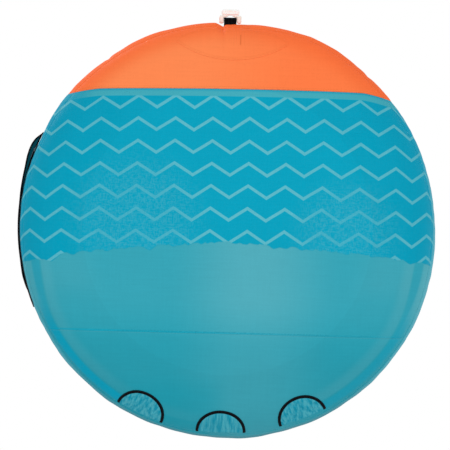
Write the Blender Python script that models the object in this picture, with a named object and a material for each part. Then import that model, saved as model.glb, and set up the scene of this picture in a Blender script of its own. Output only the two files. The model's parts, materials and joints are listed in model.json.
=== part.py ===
"""Towable deck tube for three riders, lying flat with its handles up.

Z is up, the nose with its tow connector points to -Y, and the origin is the middle of the
underside's floor. An inflated bladder with webs inside fills a sewn fabric cover.
"""

import math

import bpy
import bmesh
from mathutils import Matrix, Vector

# Body of the tube, in metres
TUBE_RADIUS = 0.865
TUBE_HEIGHT = 0.400
SIDE_ROUND_WIDTH = 0.170
CREST_WIDTH = 0.070
UNDERSIDE_SHOULDER = 0.080
UNDERSIDE_RECESS = 0.010
DECK_SHOULDER = 0.075
DECK_RECESS = 0.012
COVER_THICKNESS = 0.0008
BLADDER_THICKNESS = 0.0008
CLEARANCE = 0.0003
OVERRUN = 0.050

# Seams of the cover
EDGE_SEAM_MARGIN = 0.017
NOSE_SEAM_SETBACK = 0.281
NOSE_SEAM_BEND = 0.115
NOSE_SEAM_DROOP = 0.044
REAR_SEAM_SETBACK = 0.430

# Webs inside the bladder
RING_BAFFLE_MARGIN = 0.005
BAFFLE_THICKNESS = 0.0008
AIR_PASSAGE_RADIUS = 0.035
AIR_PASSAGE_SHARE = 0.4

# Tow point at the nose
STRAP_WIDTH = 0.050
STRAP_THICKNESS = 0.0025
TOW_BAR_RADIUS = 0.005
LOBE_WIDTH = 0.020
LOBE_LENGTH = 0.033
LOBE_HEIGHT = 0.022
LOBE_SIDE_GAP = 0.0015
HEAD_WIDTH = 0.075
HEAD_LENGTH = 0.024
HEAD_HEIGHT = 0.026
HEAD_ROUNDING = 0.005
ROPE_OPENING = 0.0137
ROPE_OPENING_WIDTH = 0.027
ROPE_OPENING_CORNER = 0.006
TOW_PATCH_HALF_WIDTH = 0.229
TOW_PATCH_MARGIN = 0.018
TOW_PATCH_DEPTH = 0.125
TOW_PATCH_THICKNESS = 0.0008

# Drain vents at the rear
VENT_WIDTH = 0.194
VENT_DEPTH = 0.077
VENT_EDGE_MARGIN = 0.008
VENT_BINDING_WIDTH = 0.010
VENT_BINDING_THICKNESS = 0.0025
VENT_LINER_THICKNESS = 0.0030
VENT_LINER_PLEAT = 0.0055
VENT_PITCH_DEGREES = 23.8
VENT_PLEATS = 5
VENT_LINER_ROWS = 5

# Bladder zip in the left side wall
ZIPPER_LENGTH = 0.680
ZIPPER_DROP = 0.022
TAPE_WIDTH = 0.009
TAPE_PROUD = 0.0004
COIL_WIDTH = 0.006
COIL_PROUD = 0.0025
STOP_LENGTH = 0.008
SLIDER_LENGTH = 0.022
SLIDER_WALL = 0.0015
PULL_LENGTH = 0.040
PULL_WIDTH = 0.009
PULL_THICKNESS = 0.0016
PULL_PIN_RADIUS = 0.001
PULL_EYE_WALL = 0.0013
LUG_THICKNESS = 0.0012
FLAP_LENGTH = 0.700
FLAP_RISE = 0.002
FLAP_THICKNESS = 0.002
FLAP_FLANGE = 0.014
FLAP_STAND = 0.017
FLAP_BULGE = 0.009
FLAP_BULGE_CENTRE = 0.110
FLAP_BULGE_REACH = 0.090
FLAP_BINDING_DEPTH = 0.008
FLAP_BINDING_WALL = 0.0015

# Filling valve in the deck
VALVE_SEAM_MARGIN = 0.020
PORT_RADIUS = 0.052
PORT_BINDING_WIDTH = 0.012
PORT_BINDING_THICKNESS = 0.002
BOOT_RADIUS = 0.045
BOOT_THICKNESS = 0.0012
BOOT_NECK_WALL = 0.003
BOOT_DEPTH = 0.026
VALVE_BODY_RADIUS = 0.0165
VALVE_COLLAR_RADIUS = 0.024
VALVE_COLLAR_THICKNESS = 0.004
VALVE_BORE_RADIUS = 0.0125
VALVE_FLOOR_THICKNESS = 0.002
AIR_HOLE_RADIUS = 0.0028
STEM_RADIUS = 0.0015
STEM_HEAD_RADIUS = 0.0025
STEM_HEAD_HEIGHT = 0.002
MEMBRANE_THICKNESS = 0.001
MEMBRANE_TRAVEL = 0.003
CAP_RADIUS = 0.023
CAP_HEIGHT = 0.011
CAP_NECK_RADIUS = 0.0150
CAP_NECK_HEIGHT = 0.0026
CAP_PLUG_DEPTH = 0.008
LEASH_THICKNESS = 0.0015
LEASH_RING_WIDTH = 0.004
LEASH_STRAP_WIDTH = 0.008
LEASH_REACH = 0.008

# Riders' handles on the deck
HANDLE_SIDE_GAP = 0.029
PATCH_EDGE_MARGIN = 0.010
PATCH_WIDTH = 0.130
PATCH_THICKNESS = 0.0015
PATCH_SIDE_GAP = 0.010
HANDLE_STRAP_WIDTH = 0.025
HANDLE_STRAP_THICKNESS = 0.003
HANDLE_HALF_SPAN = 0.085
HANDLE_HEIGHT = 0.048
HANDLE_SHOULDER = 0.022
GRIP_RADIUS = 0.018
GRIP_LENGTH = 0.112
GRIP_ROUNDING = 0.003
GUARD_LENGTH = 0.146
GUARD_WIDTH = 0.106
GUARD_THICKNESS = 0.008
GUARD_CORNER = 0.020

# Counts
FACETS = 44
ROUND_STEPS = 5
SHOULDER_STEPS = 3
BAFFLE_FACETS = 24
BAFFLES = 4
SMALL_ROUND_STEPS = 16
ARC_STEPS = 12
RIDERS = 3
HANDLES_EACH = 2
VENT_NAMES = ("left", "centre", "right")
RIDER_NAMES = ("left", "centre", "right")

# Sizes that follow from those above
HALF_FACET = math.pi / FACETS
MIDDLE_HEIGHT = TUBE_HEIGHT / 2 - UNDERSIDE_RECESS
CREST_RADIUS = TUBE_RADIUS - SIDE_ROUND_WIDTH
CREST_INNER_RADIUS = CREST_RADIUS - CREST_WIDTH
UNDERSIDE_FLOOR_RADIUS = CREST_INNER_RADIUS - UNDERSIDE_SHOULDER
DECK_FLOOR_RADIUS = CREST_INNER_RADIUS - DECK_SHOULDER
DECK_TOP = TUBE_HEIGHT - UNDERSIDE_RECESS - DECK_RECESS
RING_BAFFLE_RADIUS = UNDERSIDE_FLOOR_RADIUS - RING_BAFFLE_MARGIN
BAFFLE_SPACING = 2 * RING_BAFFLE_RADIUS / BAFFLES
EDGE_SEAM_RADIUS = TUBE_RADIUS - EDGE_SEAM_MARGIN
EDGE_SEAM_SHARE = math.sqrt(1 - ((EDGE_SEAM_RADIUS - CREST_RADIUS) / SIDE_ROUND_WIDTH) ** 2)
EDGE_SEAM_OFFSET = TUBE_HEIGHT / 2 * EDGE_SEAM_SHARE
LOWER_SEAM_HEIGHT = MIDDLE_HEIGHT - EDGE_SEAM_OFFSET
UPPER_SEAM_HEIGHT = MIDDLE_HEIGHT + EDGE_SEAM_OFFSET
NOSE_SEAM_Y = NOSE_SEAM_SETBACK - TUBE_RADIUS
NOSE_SEAM_HALF_WIDTH = math.sqrt(TUBE_RADIUS ** 2 - (NOSE_SEAM_Y + NOSE_SEAM_DROOP) ** 2)
NOSE_SEAM_HALF_STRAIGHT = NOSE_SEAM_HALF_WIDTH - NOSE_SEAM_BEND
REAR_SEAM_Y = TUBE_RADIUS - REAR_SEAM_SETBACK
TOW_PATCH_OUTER_RADIUS = EDGE_SEAM_RADIUS - TOW_PATCH_MARGIN
VALVE_Y = REAR_SEAM_Y - VALVE_SEAM_MARGIN - PORT_BINDING_WIDTH - PORT_RADIUS
BLADDER_OFFSET = -COVER_THICKNESS - CLEARANCE
BLADDER_INSIDE = BLADDER_OFFSET - BLADDER_THICKNESS
FAR = TUBE_RADIUS + OVERRUN


def display_colour(red, green, blue):
    """A colour as seen on a screen, 0 to 255, as the linear values that a shader takes."""
    return [((value / 255 + 0.055) / 1.055) ** 2.4 for value in (red, green, blue)]


FINISHES = {
    "orange_nylon": (display_colour(254, 126, 74), 0.55, 0.0),
    "teal_nylon": (display_colour(62, 165, 181), 0.55, 0.0),
    "printed_nylon": (display_colour(34, 162, 188), 0.55, 0.0),
    "liner_nylon": (display_colour(70, 160, 170), 0.7, 0.0),
    "black_tape": (display_colour(22, 23, 26), 0.75, 0.0),
    "clear_plastic": (display_colour(240, 228, 214), 0.35, 0.0),
    "grey_vinyl": (display_colour(150, 155, 160), 0.5, 0.0),
    "black_plastic": (display_colour(28, 29, 32), 0.4, 0.0),
    "zip_metal": (display_colour(170, 172, 175), 0.3, 1.0),
    "white_rubber": (display_colour(225, 225, 222), 0.5, 0.0),
    "grip_sleeve": (display_colour(236, 104, 58), 0.7, 0.0),
    "guard_foam": (display_colour(40, 42, 46), 0.85, 0.0),
}


# Making and cutting solids

def finish_material(name):
    """The material of that name, made the first time it is asked for."""
    material = bpy.data.materials.get(name)
    if material is None:
        colour, roughness, metallic = FINISHES[name]
        material = bpy.data.materials.new(name)
        material.use_nodes = True
        shader = material.node_tree.nodes["Principled BSDF"]
        shader.inputs["Base Color"].default_value = (*colour, 1.0)
        shader.inputs["Roughness"].default_value = roughness
        shader.inputs["Metallic"].default_value = metallic
    return material


def add_object(name, bm):
    """A new object in the scene that holds a bmesh."""
    mesh = bpy.data.meshes.new(name)
    bm.to_mesh(mesh)
    bm.free()
    piece = bpy.data.objects.new(name, mesh)
    bpy.context.scene.collection.objects.link(piece)
    return piece


def finish(piece, finish_name, smooth_degrees=0.0):
    """Give a piece its only material and, where it is round, smooth shading."""
    piece.data.materials.clear()
    piece.data.materials.append(finish_material(finish_name))
    if smooth_degrees:
        piece.data.shade_smooth()
        piece.data.set_sharp_from_angle(angle=math.radians(smooth_degrees))
    return piece


def combine(piece, other, operation):
    """Cut, keep or join one solid by another, which is used up."""
    modifier = piece.modifiers.new("combine", "BOOLEAN")
    modifier.operation = operation
    modifier.solver = "EXACT"
    modifier.object = other
    bpy.context.view_layer.update()
    evaluated = piece.evaluated_get(bpy.context.evaluated_depsgraph_get())
    mesh = bpy.data.meshes.new_from_object(evaluated)
    piece.modifiers.clear()
    piece.data = mesh
    mesh.name = piece.name
    bpy.data.objects.remove(other)
    return piece


def keep(piece, *solids):
    for solid in solids:
        combine(piece, solid, "INTERSECT")
    return piece


def cut(piece, *solids):
    for solid in solids:
        combine(piece, solid, "DIFFERENCE")
    return piece


def join(piece, *solids):
    for solid in solids:
        combine(piece, solid, "UNION")
    return piece


def outward(bm):
    bmesh.ops.recalc_face_normals(bm, faces=bm.faces)


def prism(name, outline, low, high):
    """An upright solid over a flat outline of (x, y) points."""
    bm = bmesh.new()
    bottom = [bm.verts.new((x, y, low)) for x, y in outline]
    top = [bm.verts.new((x, y, high)) for x, y in outline]
    bm.faces.new(bottom)
    bm.faces.new(top)
    for i in range(len(outline)):
        j = (i + 1) % len(outline)
        bm.faces.new((bottom[i], bottom[j], top[j], top[i]))
    outward(bm)
    return add_object(name, bm)


def extrusion(name, outline, width, matrix):
    """A solid whose (x, y) outline is drawn out evenly to both sides, then turned by a matrix."""
    piece = prism(name, outline, -width / 2, width / 2)
    piece.data.transform(matrix)
    if matrix.determinant() < 0:
        piece.data.flip_normals()
    return piece


def turned(name, outline, steps=SMALL_ROUND_STEPS):
    """A solid of revolution about Z from a closed outline of (radius, height) points.

    An outline that starts and ends on the axis gets flat discs there.
    """
    on_axis = outline[0][0] == 0
    rings = []
    bm = bmesh.new()
    for radius, height in outline[1:-1] if on_axis else outline:
        rings.append([
            bm.verts.new((radius * math.cos(angle), radius * math.sin(angle), height))
            for angle in (math.tau * i / steps for i in range(steps))
        ])
    if on_axis:
        bm.faces.new(rings[0])
        bm.faces.new(rings[-1])
        pairs = zip(rings, rings[1:])
    else:
        pairs = zip(rings, rings[1:] + rings[:1])
    for here, above in pairs:
        for i in range(steps):
            j = (i + 1) % steps
            bm.faces.new((here[i], here[j], above[j], above[i]))
    outward(bm)
    return add_object(name, bm)


def cylinder(name, radius, length, matrix, steps=SMALL_ROUND_STEPS):
    """A cylinder along its own Z, middle at the origin, placed by a matrix."""
    half = length / 2
    piece = turned(name, [(0, -half), (radius, -half), (radius, half), (0, half)], steps)
    piece.data.transform(matrix)
    return piece


def block(name, low, high):
    """A box between two corners."""
    outline = [(low[0], low[1]), (high[0], low[1]), (high[0], high[1]), (low[0], high[1])]
    return prism(name, outline, low[2], high[2])


def rounded_outline(half_x, half_y, corner, steps=4):
    """A rectangle with round corners, as (x, y) points."""
    points = []
    for turn, (side_x, side_y) in enumerate(((1, 1), (-1, 1), (-1, -1), (1, -1))):
        centre_x = side_x * (half_x - corner)
        centre_y = side_y * (half_y - corner)
        for i in range(steps + 1):
            angle = math.pi / 2 * (turn + i / steps)
            points.append((centre_x + corner * math.cos(angle), centre_y + corner * math.sin(angle)))
    return points


def soften(piece, width, segments=2):
    """Round a solid's edges by a bevel of its mesh."""
    bm = bmesh.new()
    bm.from_mesh(piece.data)
    bmesh.ops.bevel(bm, geom=bm.edges[:], offset=width, segments=segments, affect="EDGES",
                    clamp_overlap=True)
    bm.to_mesh(piece.data)
    bm.free()
    return piece


# The inflated form, whose skins are all offsets of one profile

def shoulder(start, end, start_height, end_height):
    """Points of the soft step between a floor and the ring's crest, the last one left off."""
    points = []
    for i in range(SHOULDER_STEPS):
        share = i / SHOULDER_STEPS
        rise = (1 - math.cos(math.pi * share)) / 2
        points.append((start + (end - start) * share, start_height + (end_height - start_height) * rise))
    return points


def side_round():
    """The bulging side from the lower crest's edge to the upper crest's edge."""
    points = []
    for i in range(2 * ROUND_STEPS + 1):
        angle = math.pi / 2 * (i / ROUND_STEPS - 1)
        radius = CREST_RADIUS + SIDE_ROUND_WIDTH * math.cos(angle)
        points.append((radius, MIDDLE_HEIGHT + TUBE_HEIGHT / 2 * math.sin(angle)))
    return points


def outer_profile():
    """The cover's outer face as (radius, height), from the underside's floor round to the deck's."""
    crest_low = -UNDERSIDE_RECESS
    crest_high = TUBE_HEIGHT - UNDERSIDE_RECESS
    under = shoulder(UNDERSIDE_FLOOR_RADIUS, CREST_INNER_RADIUS, 0, crest_low)
    over = shoulder(CREST_INNER_RADIUS, DECK_FLOOR_RADIUS, crest_high, DECK_TOP)
    return (under + [(CREST_INNER_RADIUS, crest_low)] + side_round()
            + over + [(DECK_FLOOR_RADIUS, DECK_TOP)])


def offset_profile(distance):
    """The outer profile moved outward by a distance, each straight run staying parallel."""
    points = [Vector(point) for point in outer_profile()]
    runs = [Vector((1, 0))] + [(b - a).normalized() for a, b in zip(points, points[1:])]
    runs.append(Vector((-1, 0)))
    moved = []
    for point, before, after in zip(points, runs, runs[1:]):
        normal_before = Vector((before.y, -before.x))
        normal_after = Vector((after.y, -after.x))
        mitre = (normal_before + normal_after) / (1 + normal_before.dot(normal_after))
        moved.append(point + mitre * distance)
    return moved


def add_skin(bm, distance, facing_out):
    rings = []
    for radius, height in offset_profile(distance):
        rings.append([
            bm.verts.new((radius * math.cos(angle), radius * math.sin(angle), height))
            for angle in (2 * HALF_FACET * i for i in range(FACETS))
        ])
    faces = [bm.faces.new(rings[0][::-1]), bm.faces.new(rings[-1])]
    for lower, upper in zip(rings, rings[1:]):
        for i in range(FACETS):
            j = (i + 1) % FACETS
            faces.append(bm.faces.new((lower[i], lower[j], upper[j], upper[i])))
    if not facing_out:
        bmesh.ops.reverse_faces(bm, faces=faces)


def shell(name, outer, inner):
    """The whole skin between two offsets of the cover's outer face."""
    bm = bmesh.new()
    add_skin(bm, outer, True)
    add_skin(bm, inner, False)
    return add_object(name, bm)


def core(name, distance):
    """Everything inside one offset of the cover's outer face, as a solid."""
    bm = bmesh.new()
    add_skin(bm, distance, True)
    return add_object(name, bm)


def facet_factor(angle):
    """How far a facet's face lies in from its corners' radius, at an angle round Z."""
    return math.cos(HALF_FACET) / math.cos(angle % (2 * HALF_FACET) - HALF_FACET)


def wall_radius(height, distance):
    """Radius of the side wall's corners at a height, for an offset of the outer face."""
    points = offset_profile(distance)
    for (r0, z0), (r1, z1) in zip(points, points[1:]):
        if r0 + r1 > 2 * CREST_RADIUS and z0 <= height <= z1:
            return r0 + (r1 - r0) * (height - z0) / (z1 - z0)
    raise ValueError("no side wall at that height")


def underside_height(x, y, distance):
    """Height of the faceted underside at a place in plan, for an offset of the outer face."""
    radius = math.hypot(x, y) / facet_factor(math.atan2(y, x))
    points = offset_profile(distance)
    for (r0, z0), (r1, z1) in zip(points, points[1:]):
        if r0 <= radius <= r1 and z0 < MIDDLE_HEIGHT:
            return z0 + (z1 - z0) * (radius - r0) / (r1 - r0)
    return points[0].y


# Outlines in plan

def ring_point(radius, angle):
    """A point on a circle about Z, its angle measured from the rear, +Y, towards -X."""
    return -radius * math.sin(angle), radius * math.cos(angle)


def nose_seam(shift):
    """The nose's cross seam from left to right, moved towards the rear by a shift."""
    slope = NOSE_SEAM_DROOP / NOSE_SEAM_BEND
    far_y = NOSE_SEAM_Y + slope * (FAR - NOSE_SEAM_HALF_STRAIGHT) + shift
    near_y = NOSE_SEAM_Y + shift
    return [(-FAR, far_y), (-NOSE_SEAM_HALF_STRAIGHT, near_y), (NOSE_SEAM_HALF_STRAIGHT, near_y),
            (FAR, far_y)]


def nose_region():
    return [(-FAR, -FAR), (FAR, -FAR)] + nose_seam(-CLEARANCE / 2)[::-1]


def main_region():
    limit = REAR_SEAM_Y - CLEARANCE / 2
    return nose_seam(CLEARANCE / 2) + [(FAR, limit), (-FAR, limit)]


def rear_region():
    limit = REAR_SEAM_Y + CLEARANCE / 2
    return [(-FAR, limit), (FAR, limit), (FAR, FAR), (-FAR, FAR)]


def behind_nose_region():
    return nose_seam(CLEARANCE / 2) + [(FAR, FAR), (-FAR, FAR)]


def sector(inner, outer, start, end, steps=ARC_STEPS):
    """Part of a ring in plan, its angles measured from +X towards +Y."""
    angles = [start + (end - start) * i / steps for i in range(steps + 1)]
    return ([(outer * math.cos(angle), outer * math.sin(angle)) for angle in angles]
            + [(inner * math.cos(angle), inner * math.sin(angle)) for angle in reversed(angles)])


# The bladder and its webs

def inner_bladder():
    bladder = shell("inner_bladder", BLADDER_OFFSET, BLADDER_INSIDE)
    neck = BOOT_NECK_WALL + VALVE_BODY_RADIUS + 2 * CLEARANCE
    hole = cylinder("hole", neck, OVERRUN, Matrix.Translation((0, VALVE_Y, DECK_TOP)))
    cut(bladder, hole)
    finish(bladder, "grey_vinyl", 40)


WEB_BOTTOM = -BLADDER_INSIDE + CLEARANCE
WEB_TOP = DECK_TOP + BLADDER_INSIDE - CLEARANCE


def ring_baffle():
    """The upright wall that parts the outer ring from the floor, with four air passages."""
    inner = RING_BAFFLE_RADIUS - BAFFLE_THICKNESS
    wall = turned("ring_baffle", [
        (inner, WEB_BOTTOM), (RING_BAFFLE_RADIUS, WEB_BOTTOM),
        (RING_BAFFLE_RADIUS, WEB_TOP), (inner, WEB_TOP),
    ], BAFFLE_FACETS)
    for quarter in range(2):
        turn = Matrix.Rotation(math.pi / 4 + quarter * math.pi / 2, 4, "Z")
        lay = Matrix.Translation((0, 0, MIDDLE_HEIGHT)) @ turn @ Matrix.Rotation(math.pi / 2, 4, "X")
        cut(wall, cylinder("passage", AIR_PASSAGE_RADIUS, 2 * FAR, lay, ARC_STEPS))
    finish(wall, "grey_vinyl", 40)


def floor_baffles():
    """Fore-and-aft webs that hold the deck and the underside at one distance."""
    reach = (RING_BAFFLE_RADIUS - BAFFLE_THICKNESS) * math.cos(math.pi / BAFFLE_FACETS)
    for i in range(BAFFLES):
        x = (i - (BAFFLES - 1) / 2) * BAFFLE_SPACING
        outer_x = abs(x) + BAFFLE_THICKNESS / 2
        half = math.sqrt(reach ** 2 - outer_x ** 2) - CLEARANCE
        low = (x - BAFFLE_THICKNESS / 2, -half, WEB_BOTTOM)
        high = (x + BAFFLE_THICKNESS / 2, half, WEB_TOP)
        web = block(f"floor_baffle_{i + 1}", low, high)
        for side in (-1, 1):
            place = Matrix.Translation((x, side * half * AIR_PASSAGE_SHARE, MIDDLE_HEIGHT))
            lay = place @ Matrix.Rotation(math.pi / 2, 4, "Y")
            cut(web, cylinder("passage", AIR_PASSAGE_RADIUS, OVERRUN, lay, ARC_STEPS))
        finish(web, "grey_vinyl")


# The cover's panels

def cover_panel(name, region, low, high, finish_name, holes=()):
    panel = shell(name, 0, -COVER_THICKNESS)
    keep(panel, prism("region", region, low, high))
    cut(panel, *holes)
    return finish(panel, finish_name, 40)


def cover():
    below = -FAR
    above = TUBE_HEIGHT + FAR
    lower = LOWER_SEAM_HEIGHT - CLEARANCE / 2
    upper = UPPER_SEAM_HEIGHT + CLEARANCE / 2
    side = (LOWER_SEAM_HEIGHT + CLEARANCE / 2, UPPER_SEAM_HEIGHT - CLEARANCE / 2)
    cover_panel("bottom_nose_panel", nose_region(), below, lower, "orange_nylon")
    cover_panel("bottom_print_panel", main_region(), below, lower, "printed_nylon")
    vents = [vent_hole(vent_angle(i)) for i in range(len(VENT_NAMES))]
    cover_panel("bottom_rear_panel", rear_region(), below, lower, "teal_nylon", vents)
    cover_panel("side_nose_band", nose_region(), *side, "orange_nylon", [tow_slit()])
    cover_panel("side_rear_band", behind_nose_region(), *side, "teal_nylon", [zipper_slot()])
    cover_panel("deck_nose_panel", nose_region(), upper, above, "orange_nylon")
    cover_panel("deck_main_panel", main_region(), upper, above, "printed_nylon", [valve_port()])
    cover_panel("deck_rear_panel", rear_region(), upper, above, "teal_nylon")


# Drain vents

VENT_RADIUS = EDGE_SEAM_RADIUS - VENT_EDGE_MARGIN
VENT_STEPS = 4 * VENT_PLEATS


def vent_angle(index):
    """Angle of a vent's middle from the rear, positive towards the left side."""
    return math.radians(VENT_PITCH_DEGREES) * (1 - index)


def vent_arc_size():
    """The inboard arc's radius, and how far its centre lies from the tube's middle."""
    half = VENT_WIDTH / 2
    chord_distance = math.sqrt(VENT_RADIUS ** 2 - half ** 2)
    rise = VENT_DEPTH - (VENT_RADIUS - chord_distance)
    radius = (half ** 2 + rise ** 2) / (2 * rise)
    return radius, chord_distance - rise + radius


def vent_arc(angle, radius):
    """Points along an arc about the vent's arc centre, from its left end to its right end."""
    arc_radius, distance = vent_arc_size()
    centre = Vector(ring_point(distance, angle))
    inward = -Vector(ring_point(1, angle))
    half_turn = math.asin(VENT_WIDTH / 2 / arc_radius)
    points = []
    for i in range(VENT_STEPS + 1):
        turn = half_turn * (2 * i / VENT_STEPS - 1)
        direction = Matrix.Rotation(turn, 2) @ inward
        points.append(tuple(centre + direction * radius))
    return points


def vent_rim(angle, inset):
    """Points along the vent's outboard edge, which runs with the rim, in the arc's order."""
    radius = VENT_RADIUS - inset
    half_turn = math.asin((VENT_WIDTH / 2 - 2 * inset) / radius)
    turns = [angle + half_turn * (1 - 2 * i / VENT_STEPS) for i in range(VENT_STEPS + 1)]
    points = [ring_point(radius, turn) for turn in turns]
    start = Vector(vent_arc(angle, vent_arc_size()[0])[0])
    if (start - Vector(points[0])).length > (start - Vector(points[-1])).length:
        points.reverse()
    return points


def vent_hole(angle):
    arc = vent_arc(angle, vent_arc_size()[0])
    rim = vent_rim(angle, 0)
    return prism("vent_hole", arc + rim[-2:0:-1], -FAR, MIDDLE_HEIGHT)


def vent_binding(index):
    """Black tape on the cover along the inboard arc of a vent."""
    name = f"vent_binding_{VENT_NAMES[index]}"
    angle = vent_angle(index)
    inner = vent_arc_size()[0] + CLEARANCE
    band = vent_arc(angle, inner) + vent_arc(angle, inner + VENT_BINDING_WIDTH)[::-1]
    binding = shell(name, CLEARANCE + VENT_BINDING_THICKNESS, CLEARANCE)
    keep(binding, prism("band", band, -FAR, LOWER_SEAM_HEIGHT))
    finish(binding, "black_tape", 40)


def vent_liner(index):
    """Gathered fabric that fills a vent, its pleats running in from the rim."""
    angle = vent_angle(index)
    arc = vent_arc(angle, vent_arc_size()[0] - CLEARANCE)
    rim = vent_rim(angle, CLEARANCE)
    back = -COVER_THICKNESS - VENT_LINER_THICKNESS
    bm = bmesh.new()
    front_rows, back_rows = [], []
    for row in range(VENT_LINER_ROWS + 1):
        share = row / VENT_LINER_ROWS
        front_row, back_row = [], []
        for i in range(1, VENT_STEPS):
            x = rim[i][0] + (arc[i][0] - rim[i][0]) * share
            y = rim[i][1] + (arc[i][1] - rim[i][1]) * share
            wave = (1 - math.cos(math.tau * VENT_PLEATS * i / VENT_STEPS)) / 2
            pleat = VENT_LINER_PLEAT * wave * math.sin(math.pi * (share * 0.8 + 0.1))
            low = underside_height(x, y, VENT_LINER_THICKNESS - COVER_THICKNESS) - pleat
            front_row.append(bm.verts.new((x, y, low)))
            back_row.append(bm.verts.new((x, y, underside_height(x, y, back))))
        front_rows.append(front_row)
        back_rows.append(back_row)
    stitch_grids(bm, front_rows, back_rows)
    liner = add_object(f"vent_liner_{VENT_NAMES[index]}", bm)
    finish(cut(liner, core("core", -COVER_THICKNESS)), "liner_nylon", 60)


def stitch_grids(bm, front, back):
    """Close two equal grids of corners into one solid."""
    rows, columns = len(front), len(front[0])
    for grid in (front, back):
        for r in range(rows - 1):
            for c in range(columns - 1):
                bm.faces.new((grid[r][c], grid[r][c + 1], grid[r + 1][c + 1], grid[r + 1][c]))
    border = [(0, c) for c in range(columns - 1)]
    border += [(r, columns - 1) for r in range(rows - 1)]
    border += [(rows - 1, c) for c in range(columns - 1, 0, -1)]
    border += [(r, 0) for r in range(rows - 1, 0, -1)]
    for (r0, c0), (r1, c1) in zip(border, border[1:] + border[:1]):
        bm.faces.new((front[r0][c0], front[r1][c1], back[r1][c1], back[r0][c0]))
    outward(bm)


# Tow point

LOOP_RADIUS = TOW_BAR_RADIUS + CLEARANCE + STRAP_THICKNESS
TOW_BAR_Y = -(TUBE_RADIUS + CLEARANCE + LOOP_RADIUS)
LOBE_X = STRAP_WIDTH / 2 + LOBE_SIDE_GAP + LOBE_WIDTH / 2
SIDEWAYS = Matrix.Rotation(math.pi / 2, 4, "Y")


def tow_slit():
    """The slit in the nose through which both plies of the tow webbing pass."""
    half_x = STRAP_WIDTH / 2 + CLEARANCE
    half_z = STRAP_THICKNESS + CLEARANCE
    return block("tow_slit", (-half_x, -FAR, MIDDLE_HEIGHT - half_z),
                 (half_x, -TUBE_RADIUS + OVERRUN, MIDDLE_HEIGHT + half_z))


def tow_webbing_loop():
    """Webbing round the connector's bar, its two plies going back through the slit."""
    centre = Matrix.Translation((0, TOW_BAR_Y, MIDDLE_HEIGHT))
    loop = cylinder("tow_webbing_loop", LOOP_RADIUS, STRAP_WIDTH, centre @ SIDEWAYS)
    neck_end = -TUBE_RADIUS + COVER_THICKNESS
    neck = block("neck", (-STRAP_WIDTH / 2, TOW_BAR_Y, MIDDLE_HEIGHT - STRAP_THICKNESS),
                 (STRAP_WIDTH / 2, neck_end, MIDDLE_HEIGHT + STRAP_THICKNESS))
    join(loop, neck)
    eye = TOW_BAR_RADIUS + CLEARANCE
    cut(loop, cylinder("eye", eye, STRAP_WIDTH + OVERRUN, centre @ SIDEWAYS))
    finish(loop, "black_tape", 40)


def tow_connector():
    """Moulded connector: a bar inside the webbing, two lobes and a head over an arched opening."""
    pivot = Matrix.Translation((0, TOW_BAR_Y, MIDDLE_HEIGHT))
    lobe_round = LOBE_WIDTH / 2
    back = LOOP_RADIUS - CLEARANCE
    front = LOBE_LENGTH - back
    head_inner = LOOP_RADIUS + ROPE_OPENING
    head = block("tow_connector", (-HEAD_WIDTH / 2, -head_inner - HEAD_LENGTH, -HEAD_HEIGHT / 2),
                 (HEAD_WIDTH / 2, -head_inner, HEAD_HEIGHT / 2))
    soften(head, HEAD_ROUNDING)
    middle = (front - back) / 2
    for side in (-1, 1):
        outline = rounded_outline(lobe_round, LOBE_LENGTH / 2, lobe_round * 0.9)
        place = Matrix.Translation((side * LOBE_X, -middle, 0))
        lobe = extrusion("lobe", outline, LOBE_HEIGHT, place)
        cut_back = cylinder("round", back, LOBE_WIDTH + OVERRUN, SIDEWAYS)
        reach = block("reach", (-FAR, -LOBE_LENGTH, -LOBE_HEIGHT), (FAR, 0, LOBE_HEIGHT))
        cut_back.data.transform(Matrix.Translation((side * LOBE_X, 0, 0)))
        join(cut_back, reach)
        keep(lobe, cut_back)
        join(head, lobe)
    cheeks = block("cheeks", (-LOBE_X, -head_inner - HEAD_ROUNDING, -LOBE_HEIGHT / 2),
                   (LOBE_X, -LOOP_RADIUS - 2 * CLEARANCE, LOBE_HEIGHT / 2))
    arch = rounded_outline(ROPE_OPENING_WIDTH / 2, head_inner, ROPE_OPENING_CORNER)
    cut(cheeks, extrusion("arch", arch, 2 * HEAD_HEIGHT, Matrix.Identity(4)))
    join(head, cheeks)
    join(head, cylinder("bar", TOW_BAR_RADIUS, 2 * LOBE_X, SIDEWAYS))
    head.matrix_world = pivot
    finish(head, "clear_plastic", 40)


def tow_reinforcement_patch():
    """Lens-shaped patch sewn to the underside at the nose, over the end of the webbing."""
    half = TOW_PATCH_HALF_WIDTH
    corner_turn = math.asin(half / TOW_PATCH_OUTER_RADIUS)
    corner_y = -TOW_PATCH_OUTER_RADIUS * math.cos(corner_turn)
    sagitta = TOW_PATCH_DEPTH - (TOW_PATCH_OUTER_RADIUS + corner_y)
    radius = (half ** 2 + sagitta ** 2) / (2 * sagitta)
    centre_y = corner_y + sagitta - radius
    inner_turn = math.asin(half / radius)
    outline = []
    for i in range(ARC_STEPS + 1):
        turn = corner_turn * (2 * i / ARC_STEPS - 1)
        outline.append((TOW_PATCH_OUTER_RADIUS * math.sin(turn), -TOW_PATCH_OUTER_RADIUS * math.cos(turn)))
    for i in range(1, ARC_STEPS):
        turn = inner_turn * (1 - 2 * i / ARC_STEPS)
        outline.append((radius * math.sin(turn), centre_y + radius * math.cos(turn)))
    patch = shell("tow_reinforcement_patch", CLEARANCE + TOW_PATCH_THICKNESS, CLEARANCE)
    keep(patch, prism("lens", outline, -FAR, LOWER_SEAM_HEIGHT))
    finish(patch, "orange_nylon", 40)


# Zip and flap on the left side wall

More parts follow.
